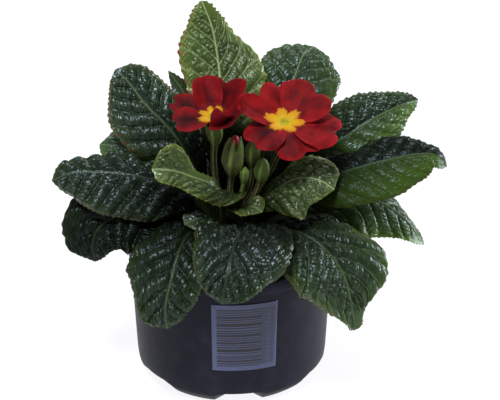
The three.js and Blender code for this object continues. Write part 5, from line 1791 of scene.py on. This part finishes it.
# ---------------------------------------------------------------- stalks, cups and buds
@dataclass
class Stalk:
    """A flower stalk with the cup or bud at its end, and the hairs that stand on it.

    The body has rows of (share of the length, radius, rib depth), and the cup has the depth,
    wall and tooth height of the open end.
    """

    name: str
    seat: tuple[float, float]
    path: Rows
    body: Rows
    cup: tuple[float, float, float] | None = None
    slit: float = 0.0
    flush: Rows = ((0, 0.3), (0.35, 0.9), (0.68, 0.9), (0.8, 0.35), (1, 0.2))
    sides: int = 40
    hairs: int = 420
    hair_thick: float = 0.045
    hair_long: tuple[float, float] = (0.45, 0.95)
    red_core: bool = False

    def build(self, material: Material) -> None:
        """Makes the stalk with its hairs, and dresses it.

        Args:
            material: the stem's finish.
        """
        foot = CROWN_TOP + SEAT_GAP + 0.2
        curve = Spline([(*self.seat, foot), (*self.seat, foot + 3), *self.path])
        share = np.unique(np.concatenate([np.linspace(0, 0.7, 34), np.linspace(0.7, 1, 26)]))
        centre, along = curve.at(share)
        right = unit(np.cross(along, (0, 1, 0)))
        across = np.cross(along, right)
        angle = circle(self.sides)
        radius, rib = between(self.body, share).T
        ridge = np.cos(5 * angle)
        wide = radius[:, None] + rib[:, None] * ridge
        tooth = self.cup[2] if self.cup else 0
        lobe = tooth * (1 - 2 * np.abs(np.sin(2.5 * angle)))
        lobe = lobe - self.slit * np.abs(np.sin(2.5 * angle)) ** 5
        push = ease(share, 0.84, 1.0)[:, None] ** 2 * lobe

        def ring(k: int, width: Array, high: Array) -> Array:
            """Points round one place of the curve.

            Args:
                k: the place's number.
                width: distances from the curve, mm.
                high: how far the points are pushed along it, mm.

            Returns:
                The points.
            """
            return (
                centre[k]
                + right[k] * (width * np.cos(angle))[:, None]
                + across[k] * (width * np.sin(angle))[:, None]
                + along[k] * np.broadcast_to(high, angle.shape)[:, None]
            )

        rings = [ring(k, wide[k], push[k]) for k in range(len(share))]
        last = centre[-1] + along[-1] * 0.8
        if self.cup:
            deep, wall, _ = self.cup
            lip = wide[-1] - wall
            rings.append(ring(-1, wide[-1] - wall * 0.5, push[-1] + 0.1))
            for k in range(1, 6):
                rings.append(ring(-1, lip - 0.02 * k, push[-1] * (1 - k / 5) - deep * k / 5))
            last = centre[-1] - along[-1] * deep
        rings = np.stack(rings)
        extra = len(rings) - len(share)
        flush = np.append(between(self.flush, share)[:, 0], np.full(extra, 0.1))
        shell = Shell()
        shell.add(
            *ring_body(rings, centre[0], last),
            flush=np.append(np.repeat(flush, self.sides), [flush[0], flush[-1]]),
            ridge=np.append(np.tile(ridge, len(rings)), [0, 0]) * 1.0, red=0,
        )
        if self.red_core:
            self.add_core(shell, centre[-1], along[-1], right[-1], across[-1])
        self.add_hairs(shell, rings[: len(share)], centre)
        shell.piece(self.name + "_stem", material, "stalk_green", self.name)

    def add_core(
        self, shell: Shell, centre: Array, along: Array, right: Array, across: Array
    ) -> None:
        """Adds the rolled red petals that show in the mouth of an opening bud.

        Args:
            shell: the stalk's shell.
            centre: the middle of the bud's mouth.
            along: the direction that the bud points in.
            right: a direction across it.
            across: the other direction across it.
        """
        angle = circle(30)
        rows = ((-3.0, 1.5), (-1.5, 2.2), (0.0, 2.1), (1.4, 1.3), (2.2, 0.5))
        high = np.linspace(-3.0, 2.2, 14)
        rings = []
        for z, radius in zip(high, between(rows, high)[:, 0]):
            width = radius * (1 + 0.16 * np.cos(3 * angle + z * 0.9))
            aside = right * (width * np.cos(angle))[:, None]
            rings.append(centre + along * z + aside + across * (width * np.sin(angle))[:, None])
        body = ring_body(np.stack(rings), centre - along * 3, centre + along * 2.3)
        shell.add(*body, flush=0, ridge=0, red=1)

    def add_hairs(self, shell: Shell, rings: Array, centre: Array) -> None:
        """Adds short hairs, each a three-sided spike sunk into the skin.

        Args:
            shell: the stalk's shell.
            rings: the rings of the stalk's skin.
            centre: the middle of each ring.
        """
        draw = np.random.default_rng(sum(self.name.encode()))
        k = draw.integers(2, len(rings) - 1, self.hairs)
        j = draw.integers(0, self.sides, self.hairs)
        root = rings[k, j]
        out = unit(root - centre[k])
        tilt = unit(out + draw.normal(0, 0.25, out.shape))
        side = unit(np.cross(tilt, draw.normal(0, 1, out.shape)))
        other = np.cross(tilt, side)
        long = draw.uniform(*self.hair_long, self.hairs)[:, None]
        base = [
            root - out * 0.1 + self.hair_thick * (side * math.cos(a) + other * math.sin(a))
            for a in (0, 2.094, 4.189)
        ]
        points = np.stack([*base, root + tilt * long], 1)
        one = np.array([(0, 1, 3), (1, 2, 3), (2, 0, 3), (0, 2, 1)])
        faces = (one[None] + np.arange(self.hairs)[:, None, None] * 4).reshape(-1, 3)
        shell.add(points, [faces], flush=0, ridge=1.2, red=0)


CUP_BODY = ((0, 1.3, 0.05), (0.2, 1.5, 0.05), (0.42, 1.6, 0.05), (0.64, 1.6, 0.05), (0.74, 1.8, 0.1),
            (0.8, 3.1, 0.35), (0.9, 4.2, 0.45), (1, 4, 0.3))
BUD_BODY = ((0, 1.2, 0.05), (0.25, 1.4, 0.05), (0.5, 1.5, 0.05), (0.7, 1.6, 0.1), (0.76, 2.9, 0.25),
            (0.86, 3.8, 0.4), (0.95, 2.8, 0.3), (1, 1, 0.1))
BUDS = (
    Stalk(
        name="bud_large", seat=(-2, -3.3), slit=3.5, red_core=True, hairs=600,
        path=((-1.2, -5, 93), (0, -6.5, 106), (1, -8, 117), (2.6, -9.6, 132)),
        body=((0, 1.2, 0.05), (0.3, 1.4, 0.05), (0.56, 1.5, 0.1), (0.64, 3.4, 0.3), (0.77, 5.4, 0.6),
              (0.9, 4.8, 0.5), (1, 2.9, 0.3)),
        cup=(3, 0.7, 0.9), flush=((0, 0.3), (0.3, 0.9), (0.58, 0.9), (0.7, 0.4), (1, 0.3)),
    ),
    Stalk(
        name="bud_tall", seat=(0.2, 0.6),
        path=((4.4, -1, 92), (9.6, -2.6, 103), (11, -3.6, 116), (11.4, -4, 128)),
        body=((0, 1.2, 0.05), (0.3, 1.5, 0.05), (0.6, 1.5, 0.05), (0.72, 1.6, 0.1),
              (0.78, 2.9, 0.25), (0.88, 3.9, 0.4), (0.95, 3.3, 0.3), (1, 1.6, 0.1)),
    ),
    Stalk(
        name="bud_green", seat=(3.9, -2.4), body=BUD_BODY,
        path=((8.4, -5.6, 93), (13.6, -9.2, 104), (15.6, -10.6, 113), (16.6, -11.6, 122)),
        flush=((0, 0.2), (0.35, 0.6), (0.68, 0.8), (0.78, 0.1), (1, 0)),
    ),
    Stalk(
        name="bud_small", seat=(1.2, -4), hairs=300,
        path=((2.6, -7.2, 92), (5.2, -10, 102), (6.8, -10.6, 110), (7.4, -10.8, 117)),
        body=((0, 1, 0.05), (0.4, 0.95, 0.05), (0.76, 1, 0.05), (0.84, 2, 0.2), (0.93, 2.3, 0.25),
              (1, 0.7, 0.1)),
        flush=((0, 0.1), (0.5, 0.3), (1, 0)),
    ),
)


# ---------------------------------------------------------------- blooms
@dataclass(frozen=True)
class Petal:
    """One petal: its turn round the bloom, its size in mm and how it lifts, cups and rolls."""

    turn: float
    long: float
    wide: float
    lift: float
    cup: float
    reflex: float
    lean: float = 1.0
    # Share of painted shade on the petal, strongest in its crease and hollow.
    deep: float = 0.1


@dataclass
class Bloom:
    """An open bloom: notched petals round a tube, a star-shaped eye and its stalk with a cup."""

    name: str
    throat: tuple[float, float, float]
    axis: tuple[float, float, float]
    eye: float
    petals: tuple[Petal, ...]
    seat: tuple[float, float]
    stalk: Rows
    throat_r: float = 1.7
    funnel_r: float = 10.0
    funnel_rise: float = 2.4
    tube_r: float = 2.1
    tube_long: float = 5.0
    thick: float = 0.42
    petal_rows: int = 41
    petal_columns: int = 53
    eye_turns: int = 168

    def __post_init__(self) -> None:
        """Works out the bloom's own directions."""
        self.up = unit(np.array(self.axis, float))
        self.right = unit(np.cross((0, 1, 0), self.up))
        self.back = np.cross(self.up, self.right)

    def funnel(self, radius: Array) -> Array:
        """Height of the shallow funnel at a distance from the axis, mm."""
        share = np.clip((radius - self.throat_r) / (self.funnel_r - self.throat_r), 0, 1)
        return self.funnel_rise * share

    def place(self, x: Array, y: Array, z: Array) -> Array:
        """Points from distances in the bloom's own directions.

        Args:
            x: distances to its right, mm.
            y: distances to its back, mm.
            z: distances up its axis, mm.

        Returns:
            The points.
        """
        x, y, z = np.broadcast_arrays(x, y, z)
        return (
            np.array(self.throat, float)
            + x[..., None] * self.right + y[..., None] * self.back + z[..., None] * self.up
        )

    def star(self, turn: Array) -> Array:
        """The eye's reach at an angle round the bloom, mm.

        Args:
            turn: angles in radians.

        Returns:
            The distance from the axis to the edge of the star.
        """
        rays = np.sort(np.mod([petal.turn * TURN for petal in self.petals], 2 * math.pi))
        turn = np.mod(turn - rays[0], 2 * math.pi) + rays[0]
        ring = np.append(rays, rays[0] + 2 * math.pi)
        k = np.clip(np.searchsorted(ring, turn, side="right") - 1, 0, len(rays) - 1)
        part = (turn - ring[k]) / (ring[k + 1] - ring[k])
        lobe = np.abs(np.cos(math.pi * part)) ** 1.3
        notch = 0.09 * np.exp(-((np.minimum(part, 1 - part) / 0.045) ** 2))
        ragged = 0.03 * np.sin(turn * 23) + 0.02 * np.sin(turn * 41 + 1)
        wide = 1 + (self.eye - 7) * 0.04 * np.cos(2 * turn)
        return self.eye * wide * (0.66 + 0.38 * lobe - notch + ragged)

    def petal_shape(self, petal: Petal, u: Array, v: Array) -> dict[str, Array]:
        """A petal's upper face and what its finish reads.

        Args:
            petal: the petal.
            u: shares from the throat to the rim.
            v: places across, from -1 to 1.

        Returns:
            Distances along and across the petal and up, mm, and its point values.
        """
        across = np.abs(v)
        ruffle = 0.25 * np.sin(v * 8 + petal.turn) * across
        rim = petal.long * (1 - 0.3 * across**4 - 0.1 * np.exp(-((v / 0.2) ** 2))) + ruffle
        reach = self.throat_r + (rim - self.throat_r) * u
        half = petal.wide / 2 * (0.2 + 0.8 * np.sin(np.minimum(1, u * 1.3) * math.pi / 2))
        aside = half * v
        radius = np.hypot(reach, aside)
        beyond = np.maximum(0, radius - self.funnel_r + 1)
        free = np.minimum(1, beyond / 5)
        rise = math.tan(petal.lift * TURN) * beyond
        hollow = petal.cup * across**2 * u * free
        roll = -petal.reflex * np.maximum(0, u - 0.6) ** 2 * 6
        overlap = 0.3 * v * (1 - free) * ease(radius, self.throat_r, self.throat_r + 3)
        veins = 0.05 * np.cos(v * 24) * u + 0.3 * u**2 * np.sin(v * 5 + petal.turn) * free * 0.5
        crease = -0.35 * np.exp(-((v / 0.12) ** 2)) * ease(u, 0.1, 0.6)
        high = self.funnel(radius) + rise + hollow + roll + petal.lean * v * free
        return {
            "reach": reach, "aside": aside, "radius": radius,
            "high": high + overlap + veins + crease,
            "rim_mm": np.minimum((1 - u) * petal.long, (1 - across) * half),
        }

    @staticmethod
    def shade(petal: Petal, u: Array, v: Array) -> Array:
        """How much painted shade the petal gets: most along the middle crease and in its hollow,
        least towards the rim.

        Args:
            petal: the petal.
            u: shares from the throat to the rim.
            v: places across, from -1 to 1.

        Returns:
            Shares of the painted shade, from 0 to 1.
        """
        crease = 0.35 * np.exp(-((v / 0.25) ** 2)) * ease(u, 0.2, 0.6) * (1 - ease(u, 0.75, 1))
        hollow = np.exp(-((v / 0.55) ** 2)) * (1 - 0.6 * ease(u, 0.6, 1))
        return np.clip(petal.deep * (0.35 + 0.95 * hollow) + crease, 0, 1)

    def add_petal(self, shell: Shell, petal: Petal) -> None:
        """Adds one petal as a closed sheet.

        Args:
            shell: the bloom's shell.
            petal: the petal.
        """
        even = np.linspace(-1, 1, self.petal_columns)
        v = (even + 0.12 * np.sin(math.pi * even))[None, :]
        u = np.linspace(0, 1, self.petal_rows)[:, None] ** 0.9
        shape = self.petal_shape(petal, u, v)
        turn = petal.turn * TURN
        x = shape["reach"] * math.cos(turn) + shape["aside"] * math.sin(turn)
        y = shape["reach"] * math.sin(turn) - shape["aside"] * math.cos(turn)
        rim = np.exp(-shape["rim_mm"] / 1.4)
        thick = self.thick * (1 - 0.45 * u) * (1 - 0.5 * rim)
        top = self.place(x, y, shape["high"])
        under = self.place(x, y, shape["high"] - thick)[::2, ::2]
        reach = self.star(np.arctan2(y, x))
        values = {
            "across_mm": shape["aside"] / np.maximum(0.35, u) + petal.turn,
            "along_mm": shape["reach"],
            # Painted highlight along the rim.
            "rim": 0.35 * rim,
            "star": 1 - ease(shape["radius"] - reach, -0.5, 0.35),
            "throat": 1 - ease(shape["radius"], 1.7, 2.9),
            # Painted shade in the crease and the hollow.
            "deep": self.shade(petal, u, v),
            "under": np.zeros_like(u),
        }
        shell.add_sheet(top, under, values, {"star": 0.0, "under": 1.0})

    def build(self, petal_skin: Material, eye_skin: Material, stem_skin: Material) -> None:
        """Makes the petals, the eye and the stalk, and dresses them.

        Args:
            petal_skin: the petals' finish.
            eye_skin: the eye's finish.
            stem_skin: the stalk's finish.
        """
        shell = Shell()
        for petal in self.petals:
            self.add_petal(shell, petal)
        angle = circle(40)
        tube = ((-self.tube_long, self.tube_r - 0.3), (-1.2, self.tube_r), (-0.1, self.tube_r + 1.0),
                (0.15, self.tube_r + 0.4))
        high = np.linspace(-self.tube_long, 0.15, 16)
        radius = between(tube, high)
        rings = self.place(radius * np.cos(angle), radius * np.sin(angle), high[:, None])
        ends = self.place(*np.zeros((2, 2)), np.array([-self.tube_long, -0.3]))
        body = ring_body(rings, *ends)
        shell.add(*body, across_mm=0, along_mm=0, rim=0, star=0, throat=1, under=0, deep=0)
        shell.piece(self.name + "_corolla", petal_skin, "petal_red", self.name + "_petals")
        self.build_eye(eye_skin)
        below = [tuple(np.array(self.throat) - self.up * depth) for depth in (12, 2.6)]
        stalk = Stalk(
            name=self.name + "_stalk", seat=self.seat, path=(*self.stalk, *below),
            body=CUP_BODY, cup=(4, 0.6, 0.9), slit=1.2,
        )
        stalk.build(stem_skin)

    def build_eye(self, material: Material) -> None:
        """Makes the star-shaped eye with its open throat and the stigma in it.

        Args:
            material: the eye's finish.
        """
        turns = self.eye_turns
        angle = circle(turns)
        edge = self.star(angle)
        rays = np.array([petal.turn * TURN for petal in self.petals])
        fold = np.max(np.cos(angle[None, :] - rays[:, None]), axis=0) ** 8
        share = np.linspace(1, 0.17, 22)[:, None]
        radius = share * edge
        height = self.funnel(radius) + 0.46 + 0.3 * fold * np.sin(share * math.pi)
        height = height + 0.35 * np.exp(-(((radius - 2.6) / 0.7) ** 2)) - 0.25 * ease(share, 0.9, 1)
        top = self.place(radius * np.cos(angle), radius * np.sin(angle), height)
        mouth = np.stack([
            self.place(r * np.cos(angle), r * np.sin(angle), np.full(turns, z))
            for r, z in ((1.35, 0.1), (1.2, -1.0), (1.1, -2.4))
        ])
        low = radius[::-3][::-1][:0:-1]
        under = self.place(low * np.cos(angle), low * np.sin(angle), self.funnel(low) + 0.2)
        rings = np.concatenate([under, top, mouth])
        reach = np.concatenate([
            np.broadcast_to(low / edge, low.shape), np.broadcast_to(share, radius.shape),
            np.zeros((3, turns)),
        ])
        ends = self.place(*np.zeros((2, 2)), np.array([0.2, -2.5]))
        shell = Shell()
        shell.add(*ring_body(rings, *ends), reach=np.append(reach, [0, 0]))
        self.add_stigma(shell)
        shell.piece(self.name + "_star", material, "eye_yellow", self.name + "_eye")

    def add_stigma(self, shell: Shell) -> None:
        """Adds the pin head that stands in the throat.

        Args:
            shell: the eye's shell.
        """
        angle = circle(20)
        lean = np.linspace(-80, 80, 12)[:, None] * TURN
        width = 0.62 * np.cos(lean)
        rings = self.place(width * np.cos(angle), width * np.sin(angle), 0.5 * np.sin(lean) - 0.2)
        ends = self.place(*np.zeros((2, 2)), np.array([-0.72, 0.32]))
        shell.add(*ring_body(rings, *ends), reach=0.1)


BLOOMS = (
    Bloom(
        name="bloom_right", throat=(27, -12, 142), axis=(0.05, -0.4, 0.92), eye=9.2,
        petals=(
            Petal(-12, 28.5, 27, 1, -1, 2), Petal(46, 24.5, 28, 19, 1.5, 1, -0.7),
            Petal(100, 23, 21, 18, 2, 1, -0.6), Petal(172, 24, 14.5, 28, 2, 0.5, 1.2),
            Petal(225, 23, 22, 1, -1, 2, -1, 0.5), Petal(302, 23.5, 26, -6, -1, 2, -1),
        ),
        seat=(3.7, 1.2), stalk=((8.4, 1.5, 92), (14.4, 2, 101), (20, 1.4, 110), (24, -2, 121)),
    ),
    Bloom(
        name="bloom_left", throat=(-9, -5, 142), axis=(-0.1, -0.32, 0.94), eye=7.2,
        petals=(
            Petal(-46, 19, 21, 34, 3, 0, -4, 0.75), Petal(64, 20.5, 28, 31, 3, 0, 2, 0.55),
            Petal(97, 20, 15, 36, 2, 0, -1, 0.3), Petal(151, 23, 14, 12, 1, 1, 1, 0.65),
            Petal(196, 20, 17, 9, 1, 1, 1, 0.6), Petal(304, 14, 12.5, 60, 1, -1, 8, 0.5),
        ),
        seat=(-3.7, 1.2), stalk=((-5.6, 1.4, 93), (-8, 1.4, 106), (-8.6, 0.4, 119)),
    ),
)


# ---------------------------------------------------------------- studio
@dataclass
class Studio:
    """Pale floor, soft lights and the camera."""

    aim: tuple[float, float, float] = (9.8, 0.0, 94.0)
    elevation: float = 25.0
    distance: float = 1000.0
    lens: float = 139.8
    sensor: float = 36.0
    floor_half: float = 5000.0
    air: str = "#f3f5fa"
    air_strength: float = 0.3

    def build(self) -> None:
        """Sets up the whole studio."""
        self.build_camera()
        self.build_floor()
        self.build_lights()

    def build_camera(self) -> None:
        """Places the camera, level with the horizon and aimed at the plant."""
        lean = self.elevation * TURN
        aim = Vector(self.aim) * MM
        away = Vector((0, -math.cos(lean), math.sin(lean))) * self.distance * MM
        data = bpy.data.cameras.new("camera")
        data.lens = self.lens
        data.sensor_width = self.sensor
        data.clip_end = 50
        camera = bpy.data.objects.new("camera", data)
        camera.location = aim + away
        camera.rotation_euler = (-away).to_track_quat("-Z", "Y").to_euler()
        bpy.context.scene.collection.objects.link(camera)
        bpy.context.scene.camera = camera

    def build_floor(self) -> None:
        """Lays the floor that the pot stands on."""
        size = self.floor_half * MM
        mesh = bpy.data.meshes.new("studio_floor")
        corners = [(-size, -size, 0), (size, -size, 0), (size, size, 0), (-size, size, 0)]
        mesh.from_pydata(corners, [], [(0, 1, 2, 3)])
        mesh.materials.append(TABLE_SHEET.build())
        floor = bpy.data.objects.new("studio_floor", mesh)
        bpy.context.scene.collection.objects.link(floor)

    def build_lights(self) -> None:
        """Hangs the soft boxes and sets the room's own light."""
        boxes = (
            ("key_box", (-500, -1300, 3000), (760, 760), 125.0, "#f4f8ff"),
            ("back_box", (600, 2000, 2600), (1200, 1200), 30.0, "#f6f9ff"),
            ("right_strip", (900, 300, 260), (160, 600), 12.0, "#eef2ff"),
        )
        for name, place, size, power, tint in boxes:
            data = bpy.data.lights.new(name, "AREA")
            data.shape = "RECTANGLE"
            data.size, data.size_y = (side * MM for side in size)
            data.energy = power
            data.color = linear(tint)[:3]
            light = bpy.data.objects.new(name, data)
            light.location = Vector(place) * MM
            aim = Vector(self.aim) * MM - light.location
            light.rotation_euler = aim.to_track_quat("-Z", "Y").to_euler()
            bpy.context.scene.collection.objects.link(light)
        world = bpy.data.worlds.new("studio_air")
        world.use_nodes = True
        air = world.node_tree.nodes["Background"].inputs
        air["Color"].default_value = linear(self.air)
        air["Strength"].default_value = self.air_strength
        bpy.context.scene.world = world
        bpy.context.scene.view_settings.view_transform = "Standard"


def main() -> None:
    """Builds the studio and then every piece of the plant and its pot."""
    logging.basicConfig(level=logging.INFO, format="%(message)s", stream=sys.stdout)
    Studio().build()
    for part in (NurseryPot(), StripedPanel(), PeatSoil(), Crown()):
        part.build()
    cuticles = {tone: cuticle.build() for tone, cuticle in CUTICLES.items()}
    for leaf in LEAVES:
        leaf.build(cuticles[leaf.tone])
    stem_skin, petal_skin, eye_skin = (skin.build() for skin in (STEM_SKIN, PETAL_SKIN, EYE_SKIN))
    for bloom in BLOOMS:
        bloom.build(petal_skin, eye_skin, stem_skin)
    for bud in BUDS:
        bud.build(stem_skin)


if __name__ == "__main__":
    main()
